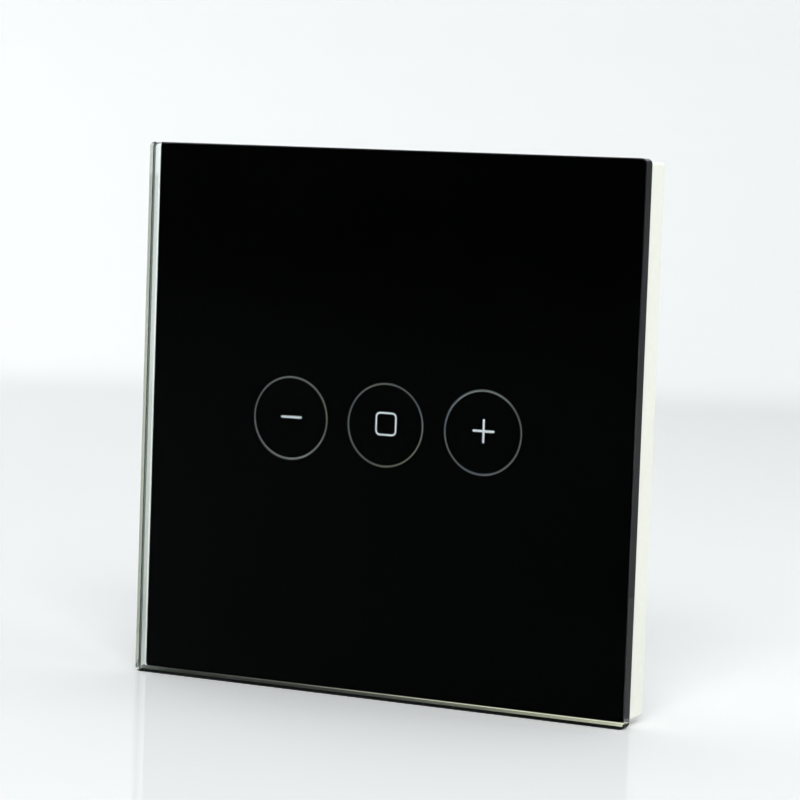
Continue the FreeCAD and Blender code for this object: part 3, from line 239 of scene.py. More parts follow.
# Cards that only reflections see
CARD_LIFT = 0.3 * MM
CARD_TURN = math.radians(21.5)
CARD_REACH = 0.12
CARD_HALF_WIDTH = 0.035
CARD_HEIGHT = 0.13
CARD_TONES = ((0.215, 0.22, 0.235), (0.20, 0.205, 0.22))
VANE_OFFSET = 6 * MM
VANE_LENGTH = 14 * MM
VANE_HEIGHT = 19 * MM
VANE_TONES = ((0.39, 0.40, 0.42), (0.37, 0.38, 0.40))

# Light from all round, and the lights: name, place, aim, size, power, whether gloss mirrors it
WORLD_COLOUR = (0.93, 0.97, 1.0, 1)
WORLD_STRENGTH = 0.26
LIGHTS = (
    ("right_light", (0.9, 0.05, 0.3), (0, 0, 0), (0.8, 0.8), 3.6, False),
    ("left_light", (-0.9, 0.3, 0.3), (0, 0, 0), (0.8, 0.8), 3.5, False),
    ("top_light", (0.35, 0.1, 1.05), (0.05, 0, 0), (1.2, 1.2), 3.0, True),
    ("front_light", (0.47, -1.05, 0.85), (0, 0, 0), (0.9, 0.6), 19.5, True),
    ("backdrop_light", (-0.13, 0.27, 1.0), (-0.25, 1.0, 0.2), (1.0, 0.6), 1.25, True),
)


def view_axes():
    """The camera's right, up and backward directions."""
    back = Vector((math.sin(AZIMUTH) * math.cos(ELEVATION),
                   -math.cos(AZIMUTH) * math.cos(ELEVATION),
                   math.sin(ELEVATION)))
    level = Vector((math.cos(AZIMUTH), math.sin(AZIMUTH), 0))
    upright = back.cross(level)
    right = level * math.cos(ROLL) + upright * math.sin(ROLL)
    up = upright * math.cos(ROLL) - level * math.sin(ROLL)
    return right, up, back


def make_camera():
    """A long lens at the photograph's viewing angle."""
    right, up, back = view_axes()
    data = bpy.data.cameras.new("camera")
    data.sensor_width = SENSOR
    data.lens = FOCAL_PIXELS * SENSOR / IMAGE_WIDTH
    data.clip_start = CLIP_START
    data.clip_end = CLIP_END
    camera = bpy.data.objects.new("camera", data)
    bpy.context.scene.collection.objects.link(camera)
    place = TARGET + back * DISTANCE
    matrix = camera.matrix_world
    for row in range(3):
        matrix[row][0] = right[row]
        matrix[row][1] = up[row]
        matrix[row][2] = back[row]
        matrix[row][3] = place[row]
    camera.matrix_world = matrix
    bpy.context.scene.camera = camera


# Node helpers for the materials


def shader_of(material):
    """The material's one shader."""
    return material.node_tree.nodes["Principled BSDF"]


def new_material(name):
    """An empty node material and its shader."""
    material = bpy.data.materials.new(name)
    material.use_nodes = True
    return material, shader_of(material)


def coordinates(material, stretch=(1, 1, 1)):
    """Places on the piece, in metres, stretched along its axes."""
    tree = material.node_tree
    place = tree.nodes.new("ShaderNodeTexCoord")
    mapping = tree.nodes.new("ShaderNodeMapping")
    mapping.inputs["Scale"].default_value = stretch
    tree.links.new(place.outputs["Object"], mapping.inputs["Vector"])
    return mapping.outputs["Vector"]


def noise(material, place, grain, detail=3.0):
    """A noise whose blotches are about one grain across."""
    tree = material.node_tree
    texture = tree.nodes.new("ShaderNodeTexNoise")
    texture.inputs["Scale"].default_value = 1 / grain
    texture.inputs["Detail"].default_value = detail
    tree.links.new(place, texture.inputs["Vector"])
    return texture.outputs["Fac"]


def map_range(material, value, taken, given=(0.0, 1.0)):
    """A node that takes a value from one range to another."""
    tree = material.node_tree
    remap = tree.nodes.new("ShaderNodeMapRange")
    for socket, limit in zip(("From Min", "From Max", "To Min", "To Max"), (*taken, *given)):
        remap.inputs[socket].default_value = limit
    tree.links.new(value, remap.inputs["Value"])
    return remap


def spread(material, value, low, high):
    """Takes a noise from its usual middle range to low and high."""
    return map_range(material, value, NOISE_RANGE, (low, high)).outputs["Result"]


def mixed(material, share, first, second):
    """A colour between two others."""
    tree = material.node_tree
    mix = tree.nodes.new("ShaderNodeMix")
    mix.data_type = "RGBA"
    mix.inputs["A"].default_value = (*first, 1)
    mix.inputs["B"].default_value = (*second, 1)
    tree.links.new(share, mix.inputs["Factor"])
    return mix.outputs["Result"]


def two_tone(material, shader, value, first, second):
    """Mixes two close colours by a noise."""
    colour = mixed(material, spread(material, value, 0, 1), first, second)
    material.node_tree.links.new(colour, shader.inputs["Base Color"])


def ramp_along(material, axis, low, high, stops):
    """Colours that change from low to high along one axis of the piece, through a few stops."""
    tree = material.node_tree
    place = tree.nodes.new("ShaderNodeTexCoord")
    split = tree.nodes.new("ShaderNodeSeparateXYZ")
    tree.links.new(place.outputs["Object"], split.inputs["Vector"])
    share = map_range(material, split.outputs[axis], (low, high))
    ramp = tree.nodes.new("ShaderNodeValToRGB")
    while len(ramp.color_ramp.elements) < len(stops):
        ramp.color_ramp.elements.new(0.5)
    for element, (position, colour) in zip(ramp.color_ramp.elements, stops):
        element.position = position
        element.color = (*colour, 1)
    tree.links.new(share.outputs["Result"], ramp.inputs["Fac"])
    return ramp.outputs["Color"]


def bump(material, shader, height, depth):
    """Raises the surface by a height map, depth metres deep."""
    tree = material.node_tree
    node = tree.nodes.new("ShaderNodeBump")
    node.inputs["Strength"].default_value = 1.0
    node.inputs["Distance"].default_value = depth
    tree.links.new(height, node.inputs["Height"])
    tree.links.new(node.outputs["Normal"], shader.inputs["Normal"])


def surface(name, first, second, rough, grain, depth=0.0, metallic=0.0, stretch=(1, 1, 1),
            **sockets):
    """A solid material: two close tones, a roughness range and a fine bump."""
    material, shader = new_material(name)
    place = coordinates(material, stretch)
    two_tone(material, shader, noise(material, place, grain * BLOTCH), first, second)
    fine = noise(material, place, grain, detail=4)
    material.node_tree.links.new(spread(material, fine, *rough), shader.inputs["Roughness"])
    if depth:
        bump(material, shader, fine, depth)
    shader.inputs["Metallic"].default_value = metallic
    for socket, value in sockets.items():
        shader.inputs[socket.replace("_", " ")].default_value = value
    return material


# Materials


def glass_material():
    """Clear float glass, faintly green. Its own gloss is kept very low, because in the photo the
    black film behind it looks black."""
    material, shader = new_material("clear_glass")
    smear = noise(material, coordinates(material), 60 * MM, detail=1)
    material.node_tree.links.new(spread(material, smear, 0.0, 0.004), shader.inputs["Roughness"])
    shader.inputs["Base Color"].default_value = (*GLASS_TINT, 1)
    shader.inputs["Transmission Weight"].default_value = 1.0
    shader.inputs["IOR"].default_value = GLASS_IOR
    shader.inputs["Specular Tint"].default_value = (0.02, 0.022, 0.025, 1)
    return material


def edge_glass(name, rough, tint=None):
    """Glass whose surface is ground or dulled, so that it passes less light. A dark tint, as on
    the ground arris, is painted shade. Without a tint, its colour is left to the caller."""
    material, shader = new_material(name)
    streaks = noise(material, coordinates(material), 4 * MM)
    if tint:
        two_tone(material, shader, streaks, tint, [part * 0.85 for part in tint])
    dullness = spread(material, streaks, rough, rough * 1.3)
    material.node_tree.links.new(dullness, shader.inputs["Roughness"])
    shader.inputs["Transmission Weight"].default_value = 1.0
    shader.inputs["IOR"].default_value = GLASS_IOR
    return material


def side_strip_painted_light():
    """The strip left of the film, slightly dull. Its tint is painted shade: darker along a line a
    third of the way in and towards its foot. It has painted highlights at its foot and near its
    top.
    """
    low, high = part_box("glass_panel")
    film_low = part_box("black_film")[0]
    material = edge_glass("side_strip_painted_light", 0.05)
    tree = material.node_tree
    # Painted shade and highlights up the strip's height, and a painted dark line along it
    along = ramp_along(material, "Z", low.z, high.z, [
        (0.0, (0.98, 1.0, 0.98)), (0.02, (0.70, 0.71, 0.66)), (0.08, (0.36, 0.38, 0.33)),
        (0.45, (0.52, 0.52, 0.46)), (0.935, (0.58, 0.59, 0.58)), (0.945, (0.97, 0.98, 0.98))])
    across = ramp_along(material, "X", low.x, film_low.x, [
        (0.0, (1, 1, 1)), (0.3, (0.75, 0.76, 0.75)), (0.6, (0.95, 0.95, 0.95)),
        (1.0, (1, 1, 1))])
    mix = tree.nodes.new("ShaderNodeMix")
    mix.data_type = "RGBA"
    mix.blend_type = "MULTIPLY"
    mix.inputs["Factor"].default_value = 1.0
    tree.links.new(along, mix.inputs["A"])
    tree.links.new(across, mix.inputs["B"])
    tree.links.new(mix.outputs["Result"], shader_of(material).inputs["Base Color"])
    return material


def below_strip_painted_light(name, tints, glows):
    """A strip below the film, slightly dull. Its tint is painted shade, dark at the left and
    lighter towards the right. Its emission is a painted glow for the light that runs inside the
    sheet from its lit right end."""
    low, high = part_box("glass_panel")
    material = edge_glass(name, 0.02)
    shader = shader_of(material)
    for socket, stops in (("Base Color", tints), ("Emission Color", glows)):
        colour = ramp_along(material, "X", low.x, high.x, stops)
        material.node_tree.links.new(colour, shader.inputs[socket])
    shader.inputs["Emission Strength"].default_value = 1.0
    shader.inputs["Specular Tint"].default_value = (0.25, 0.25, 0.2, 1)
    return material


def film_material():
    """Black film bonded to the glass, so it has no gloss of its own."""
    return surface("black_film", (0.0004, 0.0004, 0.0004), (0.0008, 0.0008, 0.0008), (0.5, 0.6),
                   1 * MM, Specular_IOR_Level=0.0)


def icon_material():
    """White print that the lamps behind it light up a little."""
    return surface("white_ink", (0.72, 0.76, 0.80), (0.78, 0.82, 0.86), (0.5, 0.7), 0.1 * MM,
                   Specular_IOR_Level=0.0, Emission_Color=(0.88, 0.94, 1.0, 1),
                   Emission_Strength=0.24)


def ring_material():
    """Thin grey print, olive in some places and bluish in others."""
    return surface("grey_ink", (0.34, 0.33, 0.25), (0.24, 0.27, 0.34), (0.5, 0.7), 0.6 * MM,
                   Specular_IOR_Level=0.0)


def plastic(name, first, second, rough=(0.38, 0.46), grain=0.09 * MM, depth=0.004 * MM):
    """Moulded plastic with a fine spark-eroded grain."""
    return surface(name, first, second, rough, grain, depth)


def metal(name, first, second, rough=(0.22, 0.38), stretch=(1, 1, 6)):
    """Rolled or plated metal with fine drawn lines."""
    return surface(name, first, second, rough, 0.05 * MM, 0.0015 * MM, metallic=1.0,
                   stretch=stretch)


MATERIALS = {
    "clear_glass": glass_material(),
    "black_film": film_material(),
    "white_ink": icon_material(),
    "grey_ink": ring_material(),
    "foam_tape": plastic("foam_tape", (0.90, 0.91, 0.90), (0.82, 0.83, 0.82),
                         (0.8, 0.95), 0.12 * MM, 0.02 * MM),
    "cream_plastic": plastic("cream_plastic", (0.775, 0.79, 0.715), (0.755, 0.77, 0.695)),
    "white_plastic": plastic("white_plastic", (0.76, 0.765, 0.745), (0.735, 0.74, 0.72),
                             (0.42, 0.52)),
    "diffuser_plastic": plastic("diffuser_plastic", (0.88, 0.88, 0.86), (0.84, 0.84, 0.82),
                                (0.3, 0.4)),
    "spring_steel": metal("spring_steel", (0.62, 0.60, 0.56), (0.56, 0.54, 0.50)),
    "led_resin": plastic("led_resin", (0.85, 0.80, 0.45), (0.80, 0.72, 0.36), (0.15, 0.25)),
    "circuit_board": plastic("circuit_board", (0.012, 0.085, 0.035), (0.018, 0.11, 0.045),
                             (0.25, 0.35), 0.2 * MM),
    "zinc_steel": metal("zinc_steel", (0.66, 0.67, 0.68), (0.58, 0.59, 0.61)),
    "nickel_steel": metal("nickel_steel", (0.62, 0.61, 0.57), (0.54, 0.53, 0.50)),
    "black_resin": plastic("black_resin", (0.018, 0.018, 0.02), (0.026, 0.026, 0.028),
                           (0.5, 0.62)),
    "tin_plate": metal("tin_plate", (0.72, 0.72, 0.70), (0.62, 0.62, 0.61), (0.3, 0.45)),
    "black_plastic": plastic("black_plastic", (0.02, 0.02, 0.023), (0.03, 0.03, 0.033),
                             (0.35, 0.45)),
    "gilt_pins": metal("gilt_pins", (0.80, 0.62, 0.28), (0.74, 0.55, 0.24), (0.18, 0.28)),
    "terminal_plastic": plastic("terminal_plastic", (0.03, 0.115, 0.065),
                                (0.036, 0.13, 0.075)),
    "brass_strip": metal("brass_strip", (0.74, 0.56, 0.27), (0.66, 0.48, 0.22)),
    "blue_coating": plastic("blue_coating", (0.02, 0.085, 0.30), (0.03, 0.10, 0.34),
                            (0.2, 0.3), 0.3 * MM, 0.01 * MM),
    "yellow_case": plastic("yellow_case", (0.74, 0.50, 0.05), (0.70, 0.46, 0.045)),
    "ferrite": plastic("ferrite", (0.035, 0.035, 0.038), (0.05, 0.05, 0.052), (0.55, 0.7)),
    "copper_winding": metal("copper_winding", (0.62, 0.23, 0.09), (0.52, 0.17, 0.07),
                            (0.22, 0.34), (1, 1, 1)),
    "black_sleeve": plastic("black_sleeve", (0.014, 0.015, 0.022), (0.02, 0.021, 0.03),
                            (0.2, 0.28)),
    "sink_aluminium": metal("sink_aluminium", (0.74, 0.75, 0.76), (0.66, 0.67, 0.68)),
}
MASKED_COPPER = plastic("masked_copper", (0.03, 0.17, 0.065), (0.035, 0.19, 0.075),
                        (0.25, 0.35), 0.2 * MM)


def dress_nodes():
    """Gives each carried-over node its material and a fine rounding of its edges."""
    slots = {part["node"]: part["material_slot"] for part in frame["record"]["subparts"]}
    for name, node in nodes.items():
        node.data.materials.clear()
        node.data.materials.append(MATERIALS[slots[name]])
        if name in SHARP_NODES:
            continue
        weld = node.modifiers.new("joined_faces", "WELD")
        weld.merge_threshold = WELD_DISTANCE
        edge = node.modifiers.new("edge_rounding", "BEVEL")
        edge.width = EDGE_ROUNDING.get(slots[name], SMALL_ROUNDING)
        edge.segments = 2
        edge.limit_method = "ANGLE"
        edge.angle_limit = ROUNDING_ANGLE
        edge.use_clamp_overlap = False


# Outlines in the plane of the wall, and solids made from them


def rounded_path(left, right, bottom, top, radius):
    """Places and outward directions round a rectangle with rounded corners, anticlockwise from
    the right side."""
    path = []
    for corner in range(4):
        middle_x = right - radius if corner in (0, 3) else left + radius
        middle_z = top - radius if corner in (0, 1) else bottom + radius
        for step in range(CORNER_STEPS + 1):
            turn = (corner + step / CORNER_STEPS) * math.pi / 2
            across, upward = math.cos(turn), math.sin(turn)
            path.append((middle_x + radius * across, middle_z + radius * upward, across, upward))
    return path


def rounded_outline(left, right, bottom, top, radius):
    """Points round a rectangle with rounded corners."""
    return [(x, z) for x, z, across, upward in rounded_path(left, right, bottom, top, radius)]


def circle(middle_x, middle_z, radius, steps):
    """Points round a circle."""
    turns = [math.tau * number / steps for number in range(steps)]
    return [(middle_x + radius * math.cos(turn), middle_z + radius * math.sin(turn))
            for turn in turns]


def spun(points, turn, middle_x=0.0, middle_z=0.0):
    """Points round zero, turned and moved to a middle."""
    cosine, sine = math.cos(turn), math.sin(turn)
    return [(middle_x + x * cosine - z * sine, middle_z + x * sine + z * cosine)
            for x, z in points]


def add_rings(mesh, rings, finishes):
    """Joins each ring of vertices to the next with faces of the given finish."""
    for front, back, finish in zip(rings, rings[1:], finishes):
        for number in range(len(front)):
            following = (number + 1) % len(front)
            face = mesh.faces.new((front[number], front[following],
                                   back[following], back[number]))
            face.material_index = finish


def prism(mesh, outline, front, rear):
    """A flat solid between two depths from one outline."""
    rings = [[mesh.verts.new((x, depth, z)) for x, z in outline] for depth in (front, rear)]
    add_rings(mesh, rings, (0,))
    mesh.faces.new(list(reversed(rings[0])))
    mesh.faces.new(rings[1])


def hollow_prism(mesh, outer, inner, front, rear):
    """A flat solid between two depths and two outlines of as many points."""
    rings = [[mesh.verts.new((x, depth, z)) for x, z in outline]
             for outline, depth in ((outer, front), (outer, rear), (inner, rear), (inner, front))]
    add_rings(mesh, rings + rings[:1], (0, 0, 0, 0))


def add_finished(mesh, finish, maker, *measures):
    """Adds a solid by its maker and gives its faces a finish."""
    first = len(mesh.faces)
    maker(mesh, *measures)
    mesh.faces.ensure_lookup_table()
    for face in mesh.faces[first:]:
        face.material_index = finish


def lathe(mesh, middle_x, middle_z, profile, finishes, steps=48):
    """A closed turned solid about a line along Y, from radius and depth pairs."""
    rings = [[mesh.verts.new((x, depth, z)) for x, z in circle(middle_x, middle_z, radius, steps)]
             for radius, depth in profile]
    add_rings(mesh, rings, finishes)
    mesh.faces.new(list(reversed(rings[0])))
    cap = mesh.faces.new(rings[-1])
    cap.material_index = finishes[-1]


def smooth_faces(mesh):
    """Shades all faces so far as one smooth surface."""
    for face in mesh.faces:
        face.smooth = True


def new_piece(name, mesh, slot, body, further_materials=()):
    """Links a mesh of closed solids as a piece with its materials, slot and body."""
    bmesh.ops.recalc_face_normals(mesh, faces=mesh.faces)
    data = bpy.data.meshes.new(name)
    mesh.normal_update()
    mesh.to_mesh(data)
    mesh.free()
    for material in (MATERIALS[slot], *further_materials):
        data.materials.append(material)
    piece = bpy.data.objects.new(name, data)
    bpy.context.scene.collection.objects.link(piece)
    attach(piece, body)
    return piece


# Front panel


def make_glass():
    """The glass sheet, bonded a hair into the film. Its rear arris is ground, and the strips of
    its rear face beside and below the film carry painted shade and light."""
    low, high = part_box("glass_panel")
    film_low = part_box("black_film")[0]
    rear = high.y + GLASS_BOND

    def ring(inset, depth):
        outline = rounded_outline(low.x + inset, high.x - inset, low.z + inset, high.z - inset,
                                  GLASS_CORNER - inset)
        return [mesh.verts.new((x, depth, z)) for x, z in outline]

    def strip_ring(beside, below):
        """A ring on the rear face that follows the film's edge at two distances."""
        limit = REAR_ARRIS + GLASS_BOND
        left = max(film_low.x - beside, low.x + limit)
        bottom = max(film_low.z - below, low.z + limit)
        band = rounded_outline(left, high.x - limit, bottom, high.z - limit, GLASS_CORNER / 2)
        return [mesh.verts.new((x, rear, z)) for x, z in band]

    mesh = bmesh.new()
    rings = [ring(FRONT_ARRIS, low.y), ring(0, low.y + FRONT_ARRIS), ring(0, rear - REAR_ARRIS),
             ring(REAR_ARRIS, rear), strip_ring(CLEAR_LINE, PAINTED_LIGHT_LINE), strip_ring(0, 0)]
    add_rings(mesh, rings, (POLISHED, POLISHED, GROUND, BESIDE_FILM, CLEAR))
    mesh.faces.new(list(reversed(rings[0])))
    mesh.faces.new(rings[-1])
    bmesh.ops.remove_doubles(mesh, verts=mesh.verts, dist=WELD_DISTANCE)
    # Faces below the film take the finishes of painted shade and light
    for face in mesh.faces:
        middle = face.calc_center_median()
        if middle.z < film_low.z and middle.x > low.x + GLASS_CORNER / 2:
            face.material_index = LOWER_FINISH[face.material_index]
    piece = new_piece("glass_sheet", mesh, "clear_glass", "front_panel", glass_finishes())
    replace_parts(piece, "glass_panel")


def glass_finishes():
    """The glass sheet's further materials, in the order of its finishes."""
    dark_glow = (0.004, 0.004, 0.003)
    # Painted shade and light below the film: dark at the left, lighter and glowing towards the
    # right
    below_painted_tints = [
        (0.0, (0.035, 0.04, 0.035)), (0.3, (0.06, 0.06, 0.052)), (0.52, (0.12, 0.12, 0.095)),
        (0.72, (0.42, 0.42, 0.33)), (0.9, (1.0, 1.0, 0.8))]
    below_painted_glows = [
        (0.0, dark_glow), (0.52, dark_glow), (0.72, (0.055, 0.055, 0.038)),
        (0.9, (0.19, 0.19, 0.13)), (1.0, (0.26, 0.26, 0.19))]
    # The line along the film's foot: painted light, brighter and glowing towards the right
    near_painted_tints = [
        (0.0, (0.03, 0.035, 0.03)), (0.12, (0.03, 0.035, 0.03)), (0.32, (0.28, 0.28, 0.225)),
        (0.52, (0.80, 0.80, 0.64)), (0.72, (1.0, 1.0, 0.8))]
    near_painted_glows = [
        (0.0, dark_glow), (0.32, (0.02, 0.02, 0.015)), (0.52, (0.17, 0.17, 0.12)),
        (0.72, (0.45, 0.45, 0.34)), (1.0, (0.50, 0.50, 0.38))]
    return (edge_glass("polished_edge", 0.02, GLASS_TINT),
            # Ground arris, tinted nearly black as painted shade
            edge_glass("ground_arris", 0.3, GROUND_PAINTED_SHADE),
            side_strip_painted_light(),
            below_strip_painted_light("below_strip_painted_light", below_painted_tints, below_painted_glows),
            below_strip_painted_light("line_painted_light", near_painted_tints, near_painted_glows),
            # Opaque near-black faces below the film: painted shade
            surface("arris_painted_shade", (0.012, 0.016, 0.014), (0.009, 0.012, 0.011), (0.5, 0.6),
                    2 * MM, Specular_IOR_Level=0.1))


def key_layout():
    """The rings' lowest and highest corners and the distance from key to key."""
    low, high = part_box("ring_inks")
    return low, high, ((high.x - low.x) - (high.z - low.z)) / 2


def turned(points, middle):
    """Points turned a hair about the middle key, as the print lies on the glass."""
    offsets = [(x - middle.x, z - middle.z) for x, z in points]
    return spun(offsets, PRINT_TURN, middle.x, middle.z)


def make_key_rings():
    """Three thin printed rings round the keys."""
    low, high, spacing = key_layout()
    middle = (low + high) / 2
    radius = (high.z - low.z) / 2
    mesh = bmesh.new()
    for key in (-1, 0, 1):
        rims = [turned(circle(middle.x + key * spacing, middle.z, size, RING_STEPS), middle)
                for size in (radius, radius - RING_LINE)]
        hollow_prism(mesh, *rims, low.y - INK_PROUD, low.y + INK_PROUD)
    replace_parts(new_piece("key_rings", mesh, "grey_ink", "front_panel"), "ring_inks")


def arm_end(turn, reach, half):
    """One arm of the plus sign, pointing along a turn, with rounded end corners."""
    points = [(half, -half)]
    for corner, start in ((-1, -math.pi / 2), (1, 0)):
        for step in range(4):
            angle = start + math.pi / 2 * step / 3
            points.append((reach - BAR_END + BAR_END * math.cos(angle),
                           corner * (half - BAR_END) + BAR_END * math.sin(angle)))
    return spun(points, turn)


def make_key_icons():
    """A minus, a rounded square and a plus, printed in the rings."""
    ring_low, ring_high, spacing = key_layout()
    ring_middle = (ring_low + ring_high) / 2
    low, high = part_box("icon_inks")
    reach = (high.z - low.z) / 2
    middle_x = low.x + reach + spacing
    middle_z = (low.z + high.z) / 2
    half = BAR_WIDTH / 2
    inside = reach - SQUARE_LINE
    mesh = bmesh.new()

    def put(key, maker, *outlines):
        """Adds one key's print from outlines round zero."""
        key_x = middle_x + key * spacing
        places = [turned([(key_x + x, middle_z + z) for x, z in outline], ring_middle)
                  for outline in outlines]
        maker(mesh, *places, low.y - INK_PROUD, low.y + INK_PROUD)

    put(-1, prism, rounded_outline(-reach, reach, -half, half, BAR_END))
    put(0, hollow_prism, rounded_outline(-reach, reach, -reach, reach, SQUARE_CORNER),
        rounded_outline(-inside, inside, -inside, inside, SQUARE_CORNER - SQUARE_LINE))
    put(1, prism, [point for arm in range(4) for point in arm_end(math.pi / 2 * arm, reach, half)])
    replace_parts(new_piece("key_icons", mesh, "white_ink", "front_panel"), "icon_inks")


# Windings and capacitors


def tube(mesh, centres, outwards, radius):
    """A round wire along centre points, each with the direction that leads out of the winding."""
    rings = []
    for number, (centre, outward) in enumerate(zip(centres, outwards)):
        before = centres[max(number - 1, 0)]
        after = centres[min(number + 1, len(centres) - 1)]
        sideways = (after - before).normalized().cross(outward).normalized()
        turns = [math.tau * side / WIRE_SIDES for side in range(WIRE_SIDES)]
        directions = [outward * math.cos(turn) + sideways * math.sin(turn) for turn in turns]
        rings.append([mesh.verts.new(centre + direction * radius) for direction in directions])
    add_rings(mesh, rings, [0] * (len(rings) - 1))
    mesh.faces.new(list(reversed(rings[0])))
    mesh.faces.new(rings[-1])


def wind(name, node, path, wire):
    """A coil of round wire on a path round the Y axis, over a core of the node's own height."""
    low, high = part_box(node)
    turns = int((high.y - low.y - wire) / (wire * WIRE_SPACING))
    steps = len(path)
    pitch = (high.y - low.y - wire) / turns
    centres = []
    outwards = []
    for number in range(turns * steps + 1):
        x, z, across, upward = path[number % steps]
        centres.append(Vector((x, low.y + wire / 2 + pitch * number / steps, z)))
        outwards.append(Vector((across, 0, upward)))
    mesh = bmesh.new()
    tube(mesh, centres, outwards, wire / 2)
    rim = wire * WINDING_RIM
    rim_outline = [(x + across * rim, z + upward * rim) for x, z, across, upward in path]
    for start, end in ((low.y, low.y + rim), (high.y - rim, high.y)):
        prism(mesh, rim_outline, start, end)
    smooth_faces(mesh)
    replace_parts(new_piece(name, mesh, "copper_winding", "base"), node)


def round_path(node, wire, steps=40):
    """Places and outward directions round a circle that fills the node's box."""
    low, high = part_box(node)
    middle = (low + high) / 2
    radius = (high.x - low.x) / 2 - wire / 2
    path = []
    for step in range(steps):
        turn = math.tau * step / steps
        across, upward = math.cos(turn), math.sin(turn)
        path.append((middle.x + radius * across, middle.z + radius * upward, across, upward))
    return path


def boxed_path(node, wire, corner):
    """Places and outward directions round a rounded rectangle that fills the node's box."""
    low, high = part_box(node)
    inset = wire / 2
    return rounded_path(low.x + inset, high.x - inset, low.z + inset, high.z - inset, corner)


def make_capacitor(name, node):
    """A sleeved can: a waist near its foot, a rolled rim, a bare end with a vent cross and a pale
    stripe."""
    low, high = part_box(node)
    middle = (low + high) / 2
    radius = (high.x - low.x) / 2
    levels = {"foot": low.y, "waist": low.y + radius * CAN_WAIST, "end": high.y}
    profile = [(radius * share, levels[level] + distance * MM)
               for share, level, distance in CAN_PROFILE]
    mesh = bmesh.new()
    lathe(mesh, middle.x, middle.z, profile, [SLEEVE] * (len(profile) - 2) + [BARE_END])
    smooth_faces(mesh)
    stripe_foot = levels["waist"] + 0.5 * MM
    stripe_end = levels["end"] - 0.6 * MM
    for face in mesh.faces:
        centre = face.calc_center_median()
        if stripe_foot < centre.y < stripe_end and centre.x - middle.x > radius * STRIPE_FROM:
            face.material_index = STRIPE
    # Four raised quarters leave the grooves of the vent cross between them
    quarter = [(VENT_GROOVE, VENT_GROOVE)]
    for step in range(VENT_STEPS + 1):
        turn = math.pi / 2 * (0.06 + 0.88 * step / VENT_STEPS)
        reach = radius * VENT_REACH
        quarter.append((reach * math.cos(turn), reach * math.sin(turn)))
    for number in range(4):
        angle = math.pi / 4 + math.pi / 2 * number
        add_finished(mesh, BARE_END, prism, spun(quarter, angle, middle.x, middle.z),
                     levels["end"] - VENT_FLOOR, levels["end"] - VENT_TOP)
    can_end = metal("can_end", (0.70, 0.71, 0.72), (0.62, 0.63, 0.64))
    stripe = plastic("sleeve_stripe", (0.42, 0.44, 0.47), (0.38, 0.40, 0.43), (0.25, 0.32))
    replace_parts(new_piece(name, mesh, "black_sleeve", "base", (can_end, stripe)), node)


# Trim of the touch board and the radio board


def box_solid(mesh, low, high, finish):
    """A small box between two corners, with the given finish."""
    outline = [(low[0], low[2]), (high[0], low[2]), (high[0], high[2]), (low[0], high[2])]
    add_finished(mesh, finish, prism, outline, low[1], high[1])


def fillet(mesh, x, z, upright, end_at, reach, width, foot, height):
    """A hollow wedge of solder from the board up to a part's end."""
    shares = [step / SOLDER_STEPS for step in range(SOLDER_STEPS + 1)]
    profile = [(end_at, 0)] + [(end_at + reach * (1 - share) ** SOLDER_HOLLOW, height * share)
                               for share in shares]
    rings = []
    for side in (-0.5, 0.5):
        across = side * width * SOLDER_WIDTH
        ring = []
        for along, up in profile:
            step_x, step_z = (across, along) if upright else (along, across)
            ring.append(mesh.verts.new((x + step_x, foot + up, z + step_z)))
        rings.append(ring)
    add_rings(mesh, rings, (0,))
    mesh.faces.new(list(reversed(rings[0])))
    mesh.faces.new(rings[1])


def make_board_chips():
    """Chip resistors and capacitors on the touch board's rear: a body between two tinned ends,
    with the solder that climbs each end."""
    board_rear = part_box("touch_board")[1].y
    foot = board_rear + CHIP_GAP
    mesh = bmesh.new()
    for x, z, upright, length, tall, finish in CHIP_PARTS:
        x, z, length, tall = x * MM, z * MM, length * MM, tall * MM
        width = length * CHIP_WIDTH
        tip = length / 2
        end = length * CHIP_END
        for start, stop, relief, kind in ((-tip, -tip + end, 0.0, TINNED),
                                          (-tip + end, tip - end, CHIP_RELIEF, finish),
                                          (tip - end, tip, 0.0, TINNED)):
            half = width / 2 - relief
            low, high = (start, -half), (stop, half)
            if upright:
                low, high = (-half, start), (half, stop)
            box_solid(mesh, (x + low[0], foot, z + low[1]),
                      (x + high[0], foot + tall - relief, z + high[1]), kind)
        for side in (-1, 1):
            fillet(mesh, x, z, upright, side * tip, side * SOLDER_REACH * length, width,
                   board_rear, tall * SOLDER_HEIGHT)
    glaze = plastic("resistor_glaze", (0.015, 0.015, 0.018), (0.022, 0.022, 0.025), (0.2, 0.3))
    ceramic = plastic("capacitor_body", (0.42, 0.27, 0.13), (0.36, 0.22, 0.10), (0.3, 0.4))
    piece = new_piece("board_chips", mesh, "tin_plate", "front_panel", (glaze, ceramic))
    rounding = piece.modifiers.new("edge_rounding", "BEVEL")
    rounding.width = CHIP_ROUNDING
    rounding.limit_method = "ANGLE"


def strip(mesh, points, width, foot, height):
    """A flat strip of copper along a run of points, mitred at its corners."""
    places = [Vector(point) for point in points]
    runs = [(after - before).normalized() for before, after in zip(places, places[1:])]
    left, right = [], []
    for here, behind, ahead in zip(places, runs[:1] + runs, runs + runs[-1:]):
        along = (ahead + behind).normalized()
        offset = Vector((-along.y, along.x)) * (width / 2 / max(along.dot(ahead), 0.5))
        left.append(here + offset)
        right.append(here - offset)
    prism(mesh, [tuple(point) for point in right + left[::-1]], foot, foot + height)


